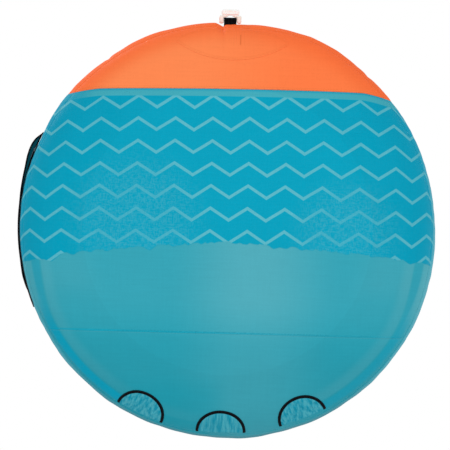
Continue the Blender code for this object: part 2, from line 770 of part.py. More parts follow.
ZIPPER_HEIGHT = MIDDLE_HEIGHT - ZIPPER_DROP
ZIPPER_TURN = ZIPPER_LENGTH / TUBE_RADIUS / 2
STOP_TURN = STOP_LENGTH / TUBE_RADIUS
SLOT_HALF_HEIGHT = COIL_WIDTH / 2 + TAPE_WIDTH + 2 * CLEARANCE
LEFT = math.pi


def stations(start, end, between=1):
    """Angles from start to end that also hit every corner of the facets on the way."""
    step = 2 * HALF_FACET / between
    first = math.floor(start / step) + 1
    last = math.ceil(end / step) - 1
    return [start] + [step * i for i in range(first, last + 1)] + [end]


def swept(name, section, angles):
    """A solid whose (radius, height) section follows the faceted wall round Z."""
    bm = bmesh.new()
    rings = []
    for angle in angles:
        factor = facet_factor(angle)
        rings.append([
            bm.verts.new((factor * radius * math.cos(angle), factor * radius * math.sin(angle), height))
            for radius, height in section(angle)
        ])
    bm.faces.new(rings[0])
    bm.faces.new(rings[-1])
    count = len(rings[0])
    for here, there in zip(rings, rings[1:]):
        for i in range(count):
            j = (i + 1) % count
            bm.faces.new((here[i], here[j], there[j], there[i]))
    outward(bm)
    return add_object(name, bm)


def wall_strip(low, high, inner, outer):
    """Section of a strip that lies on the side wall between two heights and two offsets."""
    return [(wall_radius(low, inner), low), (wall_radius(low, outer), low),
            (wall_radius(high, outer), high), (wall_radius(high, inner), high)]


def zipper_slot():
    turn = ZIPPER_TURN + CLEARANCE / TUBE_RADIUS
    ring = sector(TUBE_RADIUS - OVERRUN, FAR, LEFT - turn, LEFT + turn)
    return prism("zipper_slot", ring, ZIPPER_HEIGHT - SLOT_HALF_HEIGHT, ZIPPER_HEIGHT + SLOT_HALF_HEIGHT)


def zipper_strips():
    """The two tapes, the coil between them and the stops at its ends."""
    tape_inner = COIL_WIDTH / 2 + CLEARANCE
    tape_outer = tape_inner + TAPE_WIDTH
    length = stations(LEFT - ZIPPER_TURN, LEFT + ZIPPER_TURN)
    for name, side in (("zipper_tape_lower", -1), ("zipper_tape_upper", 1)):
        low, high = sorted((ZIPPER_HEIGHT + side * tape_inner, ZIPPER_HEIGHT + side * tape_outer))
        section = wall_strip(low, high, -COVER_THICKNESS, TAPE_PROUD)
        finish(swept(name, lambda angle: section, length), "black_tape", 40)
    low = ZIPPER_HEIGHT - COIL_WIDTH / 2
    high = ZIPPER_HEIGHT + COIL_WIDTH / 2
    coil = wall_strip(low, high, -COVER_THICKNESS, COIL_PROUD)
    turn = ZIPPER_TURN - STOP_TURN - CLEARANCE / TUBE_RADIUS
    finish(swept("zipper_coil", lambda angle: coil, stations(LEFT - turn, LEFT + turn)), "black_plastic", 40)
    stop = wall_strip(low, high, -COVER_THICKNESS, COIL_PROUD + SLIDER_WALL)
    for name, side in (("zipper_stop_rear", -1), ("zipper_stop_nose", 1)):
        ends = sorted((LEFT + side * ZIPPER_TURN, LEFT + side * (ZIPPER_TURN - STOP_TURN)))
        finish(swept(name, lambda angle: stop, stations(*ends)), "zip_metal")


SLIDER_TURN = ZIPPER_TURN - STOP_TURN - (SLIDER_LENGTH / 2 + 2 * CLEARANCE) / TUBE_RADIUS
PULL_EYE_RADIUS = PULL_PIN_RADIUS + CLEARANCE + PULL_EYE_WALL


def coil_face():
    """Radius of the coil's upper edge, which is its widest part because the wall leans out."""
    return wall_radius(ZIPPER_HEIGHT + COIL_WIDTH / 2, COIL_PROUD)


def slider_plate_inner():
    return coil_face() + CLEARANCE


def pull_pin_distance():
    return slider_plate_inner() + SLIDER_WALL + CLEARANCE + PULL_EYE_RADIUS


def zipper_slider():
    """Channel-shaped slider over the coil, closed at the nose end, with a pin for the pull."""
    side_inner = COIL_WIDTH / 2 + CLEARANCE
    side_outer = side_inner + SLIDER_WALL
    plate_inner = slider_plate_inner()
    plate_outer = plate_inner + SLIDER_WALL
    toe = wall_radius(ZIPPER_HEIGHT + side_outer, TAPE_PROUD) + 2 * CLEARANCE
    half = SLIDER_LENGTH / 2
    body = block("zipper_slider", (toe, -half, -side_outer), (plate_outer, half, side_outer))
    cut(body, block("channel", (toe - OVERRUN, -half - OVERRUN, -side_inner),
                    (plate_inner, half + OVERRUN, side_inner)))
    pin_distance = pull_pin_distance()
    pull_half = PULL_WIDTH / 2 + CLEARANCE
    lug_half = PULL_EYE_RADIUS
    for side in (-1, 1):
        low, high = sorted((side * pull_half, side * (pull_half + LUG_THICKNESS)))
        lug = block("lug", (plate_inner, -lug_half, low), (pin_distance + PULL_PIN_RADIUS, lug_half, high))
        join(body, lug)
    foot = block("foot", (plate_inner, -half, -pull_half - LUG_THICKNESS),
                 (plate_outer, half, pull_half + LUG_THICKNESS))
    join(body, foot)
    pin_place = Matrix.Translation((pin_distance, 0, 0))
    join(body, cylinder("pin", PULL_PIN_RADIUS, 2 * (pull_half + LUG_THICKNESS / 2), pin_place, ARC_STEPS))
    body.location = (0, 0, ZIPPER_HEIGHT)
    body.rotation_euler = (0, 0, LEFT + SLIDER_TURN)
    finish(body, "zip_metal")


def zipper_pull():
    """Tab that hangs on the slider's pin and lies back along the zip at rest."""
    eye = cylinder("zipper_pull", PULL_EYE_RADIUS, PULL_WIDTH, Matrix.Identity(4), ARC_STEPS)
    half = PULL_WIDTH / 2
    tab = block("tab", (-PULL_THICKNESS / 2, -PULL_LENGTH, -half), (PULL_THICKNESS / 2, 0, half))
    join(eye, tab)
    hole = PULL_PIN_RADIUS + CLEARANCE
    cut(eye, cylinder("hole", hole, PULL_WIDTH + OVERRUN, Matrix.Identity(4), ARC_STEPS))
    turn = LEFT + SLIDER_TURN
    distance = pull_pin_distance()
    eye.location = (distance * math.cos(turn), distance * math.sin(turn), ZIPPER_HEIGHT)
    eye.rotation_euler = (0, 0, turn)
    finish(eye, "zip_metal", 40)


def flap_stand(angle):
    """How far the flap's edge stands off the wall, most of all just behind its nose end."""
    turn = FLAP_LENGTH / TUBE_RADIUS / 2
    along = (LEFT + turn - angle) * TUBE_RADIUS
    bulge = FLAP_BULGE * math.exp(-((along - FLAP_BULGE_CENTRE) / FLAP_BULGE_REACH) ** 2)
    narrowing = (FLAP_STAND - FLAP_BINDING_DEPTH) / 2 * along / FLAP_LENGTH
    return FLAP_STAND + bulge - narrowing


def flap_section(angle):
    low = MIDDLE_HEIGHT + FLAP_RISE
    high = low + FLAP_FLANGE
    edge = TUBE_RADIUS + flap_stand(angle) - FLAP_BINDING_WALL - CLEARANCE
    return [
        (wall_radius(low, CLEARANCE), low), (edge, low), (edge, low + FLAP_THICKNESS),
        (wall_radius(low, CLEARANCE + FLAP_THICKNESS), low + FLAP_THICKNESS),
        (wall_radius(high, CLEARANCE + FLAP_THICKNESS), high), (wall_radius(high, CLEARANCE), high),
    ]


def flap_binding_section(angle):
    low = MIDDLE_HEIGHT + FLAP_RISE
    high = low + FLAP_THICKNESS
    outside = TUBE_RADIUS + flap_stand(angle)
    inside = outside - FLAP_BINDING_WALL
    start = outside - FLAP_BINDING_DEPTH
    reach = CLEARANCE + FLAP_BINDING_WALL
    return [
        (start, low - reach), (outside, low - reach), (outside, high + reach), (start, high + reach),
        (start, high + CLEARANCE), (inside, high + CLEARANCE), (inside, low - CLEARANCE),
        (start, low - CLEARANCE),
    ]


def zipper_flap():
    turn = FLAP_LENGTH / TUBE_RADIUS / 2
    angles = stations(LEFT - turn, LEFT + turn, 2)
    finish(swept("zipper_flap", flap_section, angles), "teal_nylon", 40)
    finish(swept("zipper_flap_binding", flap_binding_section, angles), "black_tape", 40)


# Filling valve

BLADDER_TOP = DECK_TOP + BLADDER_OFFSET
BOOT_TOP = BLADDER_TOP + CLEARANCE + BOOT_THICKNESS
BOOT_BORE = VALVE_BODY_RADIUS + CLEARANCE
COLLAR_BOTTOM = BOOT_TOP + CLEARANCE
COLLAR_TOP = COLLAR_BOTTOM + VALVE_COLLAR_THICKNESS
BOOT_BOTTOM = BLADDER_TOP - BOOT_DEPTH
BODY_BOTTOM = BOOT_BOTTOM + MEMBRANE_THICKNESS + MEMBRANE_TRAVEL + 2 * CLEARANCE
CAP_BOTTOM = COLLAR_TOP + CLEARANCE


def at_valve(piece):
    piece.location = (0, VALVE_Y, 0)
    return piece


def valve_port():
    place = Matrix.Translation((0, VALVE_Y, DECK_TOP))
    return cylinder("valve_port", PORT_RADIUS, OVERRUN, place)


def valve_port_binding():
    low = DECK_TOP + CLEARANCE
    high = low + PORT_BINDING_THICKNESS
    outer = PORT_RADIUS + PORT_BINDING_WIDTH
    ring = turned("valve_port_binding", [(PORT_RADIUS, low), (outer, low), (outer, high), (PORT_RADIUS, high)])
    finish(at_valve(ring), "black_tape", 40)


def valve_boot():
    """Flange welded to the bladder's top, with the threaded neck that holds the valve."""
    flange_low = BLADDER_TOP + CLEARANCE
    neck = BOOT_BORE + BOOT_NECK_WALL
    boot = turned("valve_boot", [
        (BOOT_BORE, BOOT_BOTTOM), (neck, BOOT_BOTTOM), (neck, flange_low), (BOOT_RADIUS, flange_low),
        (BOOT_RADIUS, BOOT_TOP), (BOOT_BORE, BOOT_TOP),
    ])
    finish(at_valve(boot), "grey_vinyl", 40)


def valve_body():
    """Screwed-in sleeve with a collar on top and a floor with six air holes."""
    floor_top = BODY_BOTTOM + VALVE_FLOOR_THICKNESS
    body = turned("valve_body", [
        (0, BODY_BOTTOM), (VALVE_BODY_RADIUS, BODY_BOTTOM), (VALVE_BODY_RADIUS, COLLAR_BOTTOM),
        (VALVE_COLLAR_RADIUS, COLLAR_BOTTOM), (VALVE_COLLAR_RADIUS, COLLAR_TOP),
        (VALVE_BORE_RADIUS, COLLAR_TOP), (VALVE_BORE_RADIUS, floor_top), (0, floor_top),
    ])
    ring = (VALVE_BORE_RADIUS + STEM_HEAD_RADIUS) / 2
    for i in range(6):
        turn = math.tau * i / 6
        place = Matrix.Translation((ring * math.cos(turn), ring * math.sin(turn), BODY_BOTTOM))
        cut(body, cylinder("air_hole", AIR_HOLE_RADIUS, VALVE_FLOOR_THICKNESS * 3, place, ARC_STEPS))
    place = Matrix.Translation((0, 0, BODY_BOTTOM))
    stem_hole = STEM_RADIUS + CLEARANCE
    cut(body, cylinder("stem_hole", stem_hole, VALVE_FLOOR_THICKNESS * 3, place, ARC_STEPS))
    finish(at_valve(body), "black_plastic", 40)


def valve_membrane():
    """Rubber disc that closes the air holes from below, held by its own headed stem."""
    top = BODY_BOTTOM - CLEARANCE
    low = top - MEMBRANE_THICKNESS
    floor_top = BODY_BOTTOM + VALVE_FLOOR_THICKNESS
    head_low = floor_top + MEMBRANE_TRAVEL + CLEARANCE
    head_top = head_low + STEM_HEAD_HEIGHT
    edge = VALVE_BODY_RADIUS - 2 * CLEARANCE
    membrane = turned("valve_membrane", [
        (0, low), (edge, low), (edge, top), (STEM_RADIUS, top), (STEM_RADIUS, head_low),
        (STEM_HEAD_RADIUS, head_low), (STEM_HEAD_RADIUS, head_top), (0, head_top),
    ])
    finish(at_valve(membrane), "white_rubber", 40)


def valve_cap():
    """Screw cap: plug, neck for the leash and a knob."""
    plug = VALVE_BORE_RADIUS - CLEARANCE
    low = CAP_BOTTOM - CAP_PLUG_DEPTH
    knob_low = CAP_BOTTOM + CAP_NECK_HEIGHT
    knob_top = knob_low + CAP_HEIGHT
    chamfer = CAP_HEIGHT / 4
    cap = turned("valve_cap", [
        (0, low), (plug, low), (plug, CAP_BOTTOM), (CAP_NECK_RADIUS, CAP_BOTTOM),
        (CAP_NECK_RADIUS, knob_low), (CAP_RADIUS, knob_low), (CAP_RADIUS, knob_top - chamfer),
        (CAP_RADIUS - chamfer, knob_top), (0, knob_top),
    ])
    finish(at_valve(cap), "black_plastic", 40)


def valve_leash():
    """Strap with a ring round the cap's neck and a ring round the body's collar."""
    upper_inner = CAP_NECK_RADIUS + CLEARANCE
    lower_inner = VALVE_COLLAR_RADIUS + CLEARANCE
    upper_low = CAP_BOTTOM + CLEARANCE
    lower_low = BOOT_TOP + CLEARANCE
    thick = LEASH_THICKNESS
    leash = turned("valve_leash", [
        (lower_inner, lower_low), (lower_inner + LEASH_RING_WIDTH, lower_low),
        (lower_inner + LEASH_RING_WIDTH, lower_low + thick), (lower_inner, lower_low + thick),
    ])
    ring = turned("upper_ring", [
        (upper_inner, upper_low), (upper_inner + LEASH_RING_WIDTH, upper_low),
        (upper_inner + LEASH_RING_WIDTH, upper_low + thick), (upper_inner, upper_low + thick),
    ])
    start = lower_inner + LEASH_RING_WIDTH / 2
    far = start + LEASH_REACH
    outline = [
        (start, lower_low), (far, lower_low), (far, upper_low + thick),
        (upper_inner + LEASH_RING_WIDTH / 2, upper_low + thick),
        (upper_inner + LEASH_RING_WIDTH / 2, upper_low),
        (far - thick, upper_low), (far - thick, lower_low + thick), (start, lower_low + thick),
    ]
    strap = extrusion("strap", outline, LEASH_STRAP_WIDTH, Matrix.Rotation(math.pi / 2, 4, "X"))
    join(leash, ring, strap)
    finish(at_valve(leash), "black_plastic", 40)


# Riders' handles

PATCH_OUTER = DECK_FLOOR_RADIUS - PATCH_EDGE_MARGIN
PATCH_INNER = PATCH_OUTER - PATCH_WIDTH
HANDLE_ARC = (PATCH_OUTER + PATCH_INNER) / 2
HANDLE_PITCH = (2 * HANDLE_HALF_SPAN + HANDLE_SIDE_GAP) / HANDLE_ARC
PATCH_TOP = DECK_TOP + CLEARANCE + PATCH_THICKNESS
PIVOT_HEIGHT = PATCH_TOP + CLEARANCE + HANDLE_STRAP_WIDTH / 2
NOSE = -math.pi / 2


def handle_patches():
    """One reinforcing patch for each rider's pair of handles."""
    rider_pitch = HANDLE_PITCH * HANDLES_EACH
    half = rider_pitch / 2 - PATCH_SIDE_GAP / 2 / PATCH_OUTER
    for i, name in enumerate(RIDER_NAMES):
        middle = NOSE + (i - (RIDERS - 1) / 2) * rider_pitch
        outline = sector(PATCH_INNER, PATCH_OUTER, middle - half, middle + half)
        patch = prism(f"handle_patch_{name}", outline, DECK_TOP + CLEARANCE, PATCH_TOP)
        finish(patch, "teal_nylon")


def handle_turn(index):
    """Angle of a handle from the nose, positive towards the right side."""
    count = RIDERS * HANDLES_EACH
    return HANDLE_PITCH * (index - (count - 1) / 2)


def place_on_arc(piece, turn, height):
    piece.location = (HANDLE_ARC * math.sin(turn), -HANDLE_ARC * math.cos(turn), height)
    piece.rotation_euler = (0, 0, turn)
    return piece


def strap_outline():
    """The arch of a handle's strap, seen along the deck, as a closed outline."""
    half = HANDLE_STRAP_THICKNESS / 2
    foot, top, low = HANDLE_HALF_SPAN, HANDLE_HEIGHT, -HANDLE_STRAP_WIDTH
    shoulder_x = HANDLE_HALF_SPAN - HANDLE_SHOULDER
    waist = HANDLE_HEIGHT - HANDLE_SHOULDER
    outer = [(foot + half, low), (foot + half, waist), (shoulder_x, top + half)]
    inner = [(shoulder_x - half / 2, top - half), (foot - half, waist - half), (foot - half, low)]
    mirrored = [(-x, z) for x, z in reversed(outer)]
    inner_mirrored = [(-x, z) for x, z in reversed(inner)]
    return outer + mirrored + inner_mirrored + inner


def handle_webbing(index):
    """Strap arch with round feet, its origin on the line that it swings about."""
    turn_up = Matrix.Rotation(math.pi / 2, 4, "X")
    strap = extrusion(f"handle_webbing_{index + 1}", strap_outline(), HANDLE_STRAP_WIDTH, turn_up)
    radius = HANDLE_STRAP_WIDTH / 2
    foot = [(radius * math.cos(angle), radius * math.sin(angle))
            for angle in (math.pi * (1 + i / ARC_STEPS) for i in range(ARC_STEPS + 1))]
    profile = foot + [(radius, HANDLE_HEIGHT + radius), (-radius, HANDLE_HEIGHT + radius)]
    stand = turn_up
    along = Matrix.Rotation(math.pi / 2, 4, "Z") @ stand
    keep(strap, extrusion("round_feet", profile, 2 * HANDLE_HALF_SPAN + OVERRUN, along))
    finish(place_on_arc(strap, handle_turn(index), PIVOT_HEIGHT), "black_tape")


def handle_grip(index):
    """Padded sleeve round the strap."""
    centre = Matrix.Translation((0, 0, HANDLE_HEIGHT))
    half = GRIP_LENGTH / 2
    outline = [
        (0, -half), (GRIP_RADIUS - GRIP_ROUNDING, -half), (GRIP_RADIUS, -half + GRIP_ROUNDING),
        (GRIP_RADIUS, half - GRIP_ROUNDING), (GRIP_RADIUS - GRIP_ROUNDING, half), (0, half),
    ]
    grip = turned(f"handle_grip_{index + 1}", outline, 16)
    grip.data.transform(centre @ SIDEWAYS)
    half_width = HANDLE_STRAP_WIDTH / 2 + CLEARANCE
    half_thick = HANDLE_STRAP_THICKNESS / 2 + CLEARANCE
    cut(grip, block("bore", (-GRIP_LENGTH, -half_width, HANDLE_HEIGHT - half_thick),
                    (GRIP_LENGTH, half_width, HANDLE_HEIGHT + half_thick)))
    finish(place_on_arc(grip, handle_turn(index), PIVOT_HEIGHT), "grip_sleeve", 40)


def knuckle_guard(index):
    """Pad on the patch under a grip."""
    outline = rounded_outline(GUARD_LENGTH / 2, GUARD_WIDTH / 2, GUARD_CORNER)
    guard = prism(f"knuckle_guard_{index + 1}", outline, CLEARANCE, CLEARANCE + GUARD_THICKNESS)
    finish(place_on_arc(guard, handle_turn(index), PATCH_TOP), "guard_foam")


def build():
    for leftover in list(bpy.data.objects):
        bpy.data.objects.remove(leftover)
    inner_bladder()
    ring_baffle()
    floor_baffles()
    cover()
    for i in range(len(VENT_NAMES)):
        vent_binding(i)
        vent_liner(i)
    tow_webbing_loop()
    tow_connector()
    tow_reinforcement_patch()
    zipper_strips()
    zipper_slider()
    zipper_pull()
    zipper_flap()
    valve_port_binding()
    valve_boot()
    valve_body()
    valve_membrane()
    valve_cap()
    valve_leash()
    handle_patches()
    for i in range(RIDERS * HANDLES_EACH):
        handle_webbing(i)
        handle_grip(i)
        knuckle_guard(i)


build()
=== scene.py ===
"""Dresses the towable deck tube: sewn nylon cover, webbing, zip, valve and riders' handles.

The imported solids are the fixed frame. Every piece rides on one of its bodies and is made in
metres, in the same place as the solid that it stands for.
"""

import json
import math

import bmesh
import bpy
import numpy as np
from mathutils import Matrix, Vector


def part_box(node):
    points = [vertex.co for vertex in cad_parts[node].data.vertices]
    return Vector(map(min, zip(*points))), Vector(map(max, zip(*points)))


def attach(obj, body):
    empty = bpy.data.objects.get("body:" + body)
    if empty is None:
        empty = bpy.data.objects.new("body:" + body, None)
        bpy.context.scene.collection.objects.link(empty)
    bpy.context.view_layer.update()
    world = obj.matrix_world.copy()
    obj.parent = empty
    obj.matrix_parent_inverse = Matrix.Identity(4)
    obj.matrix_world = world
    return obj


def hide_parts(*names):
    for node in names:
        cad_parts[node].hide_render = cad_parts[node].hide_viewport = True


bl_info = {
    "name": "Towable deck tube",
    "version": (1, 0, 0),
    "blender": (4, 5, 0),
    "location": "3D View > Sidebar > Deck tube",
    "description": "Adds the sewn cover, fittings and stage of an inflatable deck tube",
    "category": "Add Mesh",
}

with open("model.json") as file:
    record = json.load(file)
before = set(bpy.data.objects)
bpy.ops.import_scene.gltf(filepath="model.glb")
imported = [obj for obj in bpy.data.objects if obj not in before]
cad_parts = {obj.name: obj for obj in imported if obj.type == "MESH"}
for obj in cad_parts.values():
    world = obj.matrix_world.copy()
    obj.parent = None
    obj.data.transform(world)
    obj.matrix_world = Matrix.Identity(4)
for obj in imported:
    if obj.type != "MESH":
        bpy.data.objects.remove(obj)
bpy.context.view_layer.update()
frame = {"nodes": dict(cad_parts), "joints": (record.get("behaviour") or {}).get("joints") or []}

TUBE = "tube"
ACROSS = ("left", "centre", "right")


# What the solids say

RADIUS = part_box("side_rear_band")[1].x
CREST_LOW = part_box("bottom_print_panel")[0].z
CREST_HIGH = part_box("deck_main_panel")[1].z
MIDDLE = (CREST_LOW + CREST_HIGH) / 2
HALF_HEIGHT = (CREST_HIGH - CREST_LOW) / 2
LOWER_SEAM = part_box("side_rear_band")[0].z
UPPER_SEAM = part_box("side_rear_band")[1].z
EDGE_SEAM_RADIUS = RADIUS - 0.017
NOSE_SEAM_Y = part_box("bottom_print_panel")[0].y
REAR_SEAM_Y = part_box("bottom_print_panel")[1].y
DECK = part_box("handle_patch_centre")[0].z
VALVE_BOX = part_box("valve_cap")
VALVE = Vector(((VALVE_BOX[0].x + VALVE_BOX[1].x) / 2, (VALVE_BOX[0].y + VALVE_BOX[1].y) / 2, 0))
JOINT = {joint["name"]: joint for joint in frame["joints"]}
TOW_BAR = Vector(JOINT["tow_connector_swing"]["pos_m"])
ZIP_HEIGHT = JOINT["zipper_travel"]["pos_m"][2]
ZIP_PULL = Vector(JOINT["zipper_pull_swing"]["pos_m"])
RIDER_HANDLES = 6
# The nose's angle round the tube's axis.
NOSE = -math.pi / 2


# What the photo says

# Half the turn that the zip's coil and its flap take up, in radians.
ZIP_TURN = 0.680 / RADIUS / 2
FLAP_TURN = 0.700 / RADIUS / 2
# The sewn lines of the two cross seams. The tilt is metres along Y for each metre along X.
NOSE_LINE_Y = NOSE_SEAM_Y + 0.0046
REAR_LINE_Y = REAR_SEAM_Y - 0.0103
NOSE_LINE_TILT = -0.0084
# How far the tow strap and the vents lie off the middle along X, and the turn between two vents.
TOW_SHIFT = -0.0125
VENT_SHIFT = -0.0085
VENT_TURN = math.radians(23.8)


def colour_property(name, description, red, green, blue):
    """A colour written as seen on a screen, 0 to 255."""
    return bpy.props.FloatVectorProperty(
        name=name, description=description, subtype="COLOR_GAMMA", size=3, min=0.0, max=1.0,
        default=(red / 255, green / 255, blue / 255))


def length_property(name, description, default):
    return bpy.props.FloatProperty(
        name=name, description=description, default=default, min=0.0, unit="LENGTH", precision=4)


class DeckTubeSizes(bpy.types.PropertyGroup):
    side_width: length_property("Side width", "Width in plan of the bulging side", 0.172)
    floor_radius: length_property("Floor radius", "Radius of the underside's flat floor", 0.545)
    deck_radius: length_property("Deck radius", "Radius of the deck's flat floor", 0.549)
    crest_radius: length_property("Crest radius", "Inner radius of the ring's crest", 0.632)
    edge_seam_radius: length_property("Edge seam radius", "Radius of the seams at the side's edges", 0.848)
    nose_half_straight: length_property("Nose seam straight", "Half the nose seam's gently curved run", 0.540)
    nose_end_run: length_property("Nose seam end", "Width of each turned-back end of the nose seam", 0.132)
    nose_droop: length_property("Nose seam droop", "How far the nose seam's ends turn back", 0.0265)
    nose_sag: bpy.props.FloatProperty(name="Nose seam sag", description="Curve of the nose seam, per metre",
                                      default=0.0232, min=0.0)
    cloth_thickness: length_property("Cloth thickness", "Thickness of the cover's cloth", 0.0009)
    seam_width: length_property("Seam width", "Width of the groove at a seam", 0.0055)
    seam_depth: length_property("Seam depth", "Depth of the groove at a seam", 0.0009)
    zigzag_period: length_property("Zigzag period", "Distance between two points of the print", 0.1529)
    zigzag_height: length_property("Zigzag height", "Height of the print's zigzag", 0.0498)
    zigzag_pitch: length_property("Zigzag pitch", "Distance between two zigzag rows", 0.0928)
    zigzag_stroke: length_property("Zigzag stroke", "Width of the zigzag's line", 0.0118)
    strip_width: length_property("Strip width", "Pale strip behind the nose seam", 0.0305)
    vent_width: length_property("Vent width", "Width of a drain vent", 0.184)
    vent_depth: length_property("Vent depth", "Depth of a drain vent", 0.084)
    vent_rim_radius: length_property("Vent rim", "Radius at which the vents end", 0.837)
    vent_binding: length_property("Vent binding", "Width of the tape round a vent", 0.0122)
    strap_width: length_property("Tow strap width", "Width of the tow webbing", 0.052)
    handle_strap: length_property("Handle strap width", "Width of a handle's webbing", 0.025)


class DeckTubeColours(bpy.types.PropertyGroup):
    orange: colour_property("Orange", "Nose panels", 255, 137, 81)
    # Painted shade: the orange as darkened towards the rim and the right; the orange side band takes it all
    # over.
    orange_rim: colour_property("Orange rim", "Nose panels near the rim", 255, 113, 57)
    print_ground: colour_property("Print ground", "Ground of the zigzag print", 0, 160, 190)
    # Painted shade: the print's ground as deepened towards the rim.
    print_ground_rim: colour_property("Print ground rim", "Ground of the print near the rim", 0, 156, 187)
    print_line: colour_property("Print line", "Zigzag lines", 96, 185, 199)
    strip: colour_property("Strip", "Pale strip behind the nose seam", 68, 171, 186)
    plain: colour_property("Plain teal", "Plain cloth of the rear", 80, 172, 187)
    # Painted shade: the plain teal as shaded at the sides and the rear.
    plain_deep: colour_property("Plain teal deep", "Plain cloth at the sides and the rear", 6, 156, 177)
    side: colour_property("Side teal", "Side band", 92, 174, 190)
    black: colour_property("Black webbing", "Webbing and binding", 8, 10, 14)
    fitting: colour_property("Tow fitting", "Pale moulded tow connector", 254, 253, 250)
    vinyl: colour_property("Bladder", "Grey vinyl of the bladder", 150, 155, 160)
    plastic: colour_property("Black plastic", "Valve and zip coil", 28, 29, 32)
    metal: colour_property("Zip metal", "Slider, pull and stops", 92, 96, 102)
    grip: colour_property("Grip sleeve", "Sleeve of a handle's grip", 240, 112, 58)
    foam: colour_property("Knuckle guard", "Foam under the grips", 44, 47, 52)
    floor: colour_property("Floor", "Studio floor", 236, 237, 238)


def sizes():
    return bpy.context.scene.deck_tube_sizes


def tone(name):
    """A colour of the property group as the linear values that a shader takes."""
    values = getattr(bpy.context.scene.deck_tube_colours, name)
    return tuple(v / 12.92 if v <= 0.04045 else ((v + 0.055) / 1.055) ** 2.4 for v in values)


# Shader arithmetic

class Wire:
    """A socket of a material, which Python arithmetic joins into Math nodes."""

    def __init__(self, shader, socket):
        self.shader = shader
        self.socket = socket

    def math(self, operation, *others):
        node = self.shader.node("ShaderNodeMath", {"operation": operation}, dict(enumerate((self, *others))))
        return Wire(self.shader, node.outputs[0])

    def __add__(self, other):
        return self.math("ADD", other)

    def __sub__(self, other):
        return self.math("SUBTRACT", other)

    def __rsub__(self, other):
        node = self.shader.node("ShaderNodeMath", {"operation": "SUBTRACT"}, {0: other, 1: self})
        return Wire(self.shader, node.outputs[0])

    def __mul__(self, other):
        return self.math("MULTIPLY", other)

    def __truediv__(self, other):
        return self.math("DIVIDE", other)

    def __pow__(self, other):
        return self.math("POWER", other)

    def __abs__(self):
        return self.math("ABSOLUTE")

    __radd__ = __add__
    __rmul__ = __mul__

    def cycle(self):
        """The part after the decimal point."""
        return self.math("FRACT")

    def least(self, other):
        return self.math("MINIMUM", other)

    def most(self, other):
        return self.math("MAXIMUM", other)

    def sine(self):
        return self.math("SINE")

    def step(self, low, high):
        """A smooth rise from 0 at low to 1 at high, or a fall where low is the greater."""
        settings = {"interpolation_type": "SMOOTHSTEP"}
        if low < high:
            limits = {"From Min": low, "From Max": high, "To Min": 0.0, "To Max": 1.0}
        else:
            limits = {"From Min": high, "From Max": low, "To Min": 1.0, "To Max": 0.0}
        node = self.shader.node("ShaderNodeMapRange", settings, {"Value": self, **limits})
        return Wire(self.shader, node.outputs["Result"])


class Shader:
    """One material, built from a Principled shader."""

    def __init__(self, name, roughness=0.6, **constants):
        self.material = bpy.data.materials.new(name)
        self.material.use_nodes = True
        self.tree = self.material.node_tree
        self.surface = self.tree.nodes["Principled BSDF"]
        self.surface.inputs["Roughness"].default_value = roughness
        for socket, value in constants.items():
            self.surface.inputs[socket.replace("_", " ")].default_value = value

    def node(self, kind, settings=None, inputs=None):
        node = self.tree.nodes.new(kind)
        for key, value in (settings or {}).items():
            setattr(node, key, value)
        for key, value in (inputs or {}).items():
            if isinstance(value, Wire):
                self.tree.links.new(value.socket, node.inputs[key])
            elif isinstance(value, tuple) and len(value) == 3 and node.inputs[key].type == "RGBA":
                node.inputs[key].default_value = (*value, 1.0)
            else:
                node.inputs[key].default_value = value
        return node

    def feed(self, socket, wire):
        """Join a wire to the Principled shader."""
        self.tree.links.new(wire.socket, self.surface.inputs[socket])

    def place(self):
        """The point on the piece, in metres, as a vector and its x, y and z."""
        point = Wire(self, self.node("ShaderNodeTexCoord").outputs["Object"])
        parts = self.node("ShaderNodeSeparateXYZ", None, {0: point}).outputs
        return point, Wire(self, parts[0]), Wire(self, parts[1]), Wire(self, parts[2])

    def strip_place(self):
        """Metres along and across a strip, from its UV map."""
        point = Wire(self, self.node("ShaderNodeUVMap").outputs[0])
        parts = self.node("ShaderNodeSeparateXYZ", None, {0: point}).outputs
        return Wire(self, parts[0]), Wire(self, parts[1])

    def vector(self, x, y, z):
        return Wire(self, self.node("ShaderNodeCombineXYZ", None, {0: x, 1: y, 2: z}).outputs[0])

    def noise(self, point, scale, detail=2.0, roughness=0.5):
        node = self.node("ShaderNodeTexNoise", None, {
            "Vector": point, "Scale": scale, "Detail": detail, "Roughness": roughness})
        return Wire(self, node.outputs[0])

    def mix(self, share, first, second):
        """A colour between two, at share 0 the first."""
        node = self.node("ShaderNodeMix", {"data_type": "RGBA"}, {0: share, 6: first, 7: second})
        return Wire(self, node.outputs[2])

    def shade(self, colour, amount):
        """The colour made lighter or darker by an amount round 1."""
        grey = self.vector(amount, amount, amount)
        node = self.node("ShaderNodeVectorMath", {"operation": "MULTIPLY"}, {0: colour, 1: grey})
        return Wire(self, node.outputs[0])

    def bump(self, height, distance, strength, below=None):
        inputs = {"Height": height, "Distance": distance, "Strength": strength}
        if below is not None:
            inputs["Normal"] = below
        return Wire(self, self.node("ShaderNodeBump", None, inputs).outputs[0])


# Cloth finishes

MATT_CLOTH = {"Specular_IOR_Level": 0.03}
ORANGE_THREAD = (0.62, 0.16, 0.04)
TEAL_THREAD = (0.10, 0.42, 0.50)
STITCH_WIDTH = 0.0011
# Metres along the cloth from the middle of the underside to the seam at its edge.
CLOTH_REACH = 0.8794
# The print's place on the cloth: the zigzag's phase, its first row's start and its ragged edge.
ZIGZAG_PHASE = 0.0175
ZIGZAG_START = 0.3170
RAGGED_EDGE_Y = 0.053


def weave(x, y, pitch):
    """Threads that pass over and under each other, as a height from 0 to 1."""
    warp = (x * (math.tau / pitch)).sine()
    weft = (y * (math.tau / pitch)).sine()
    return (warp * weft) * 0.5 + 0.5


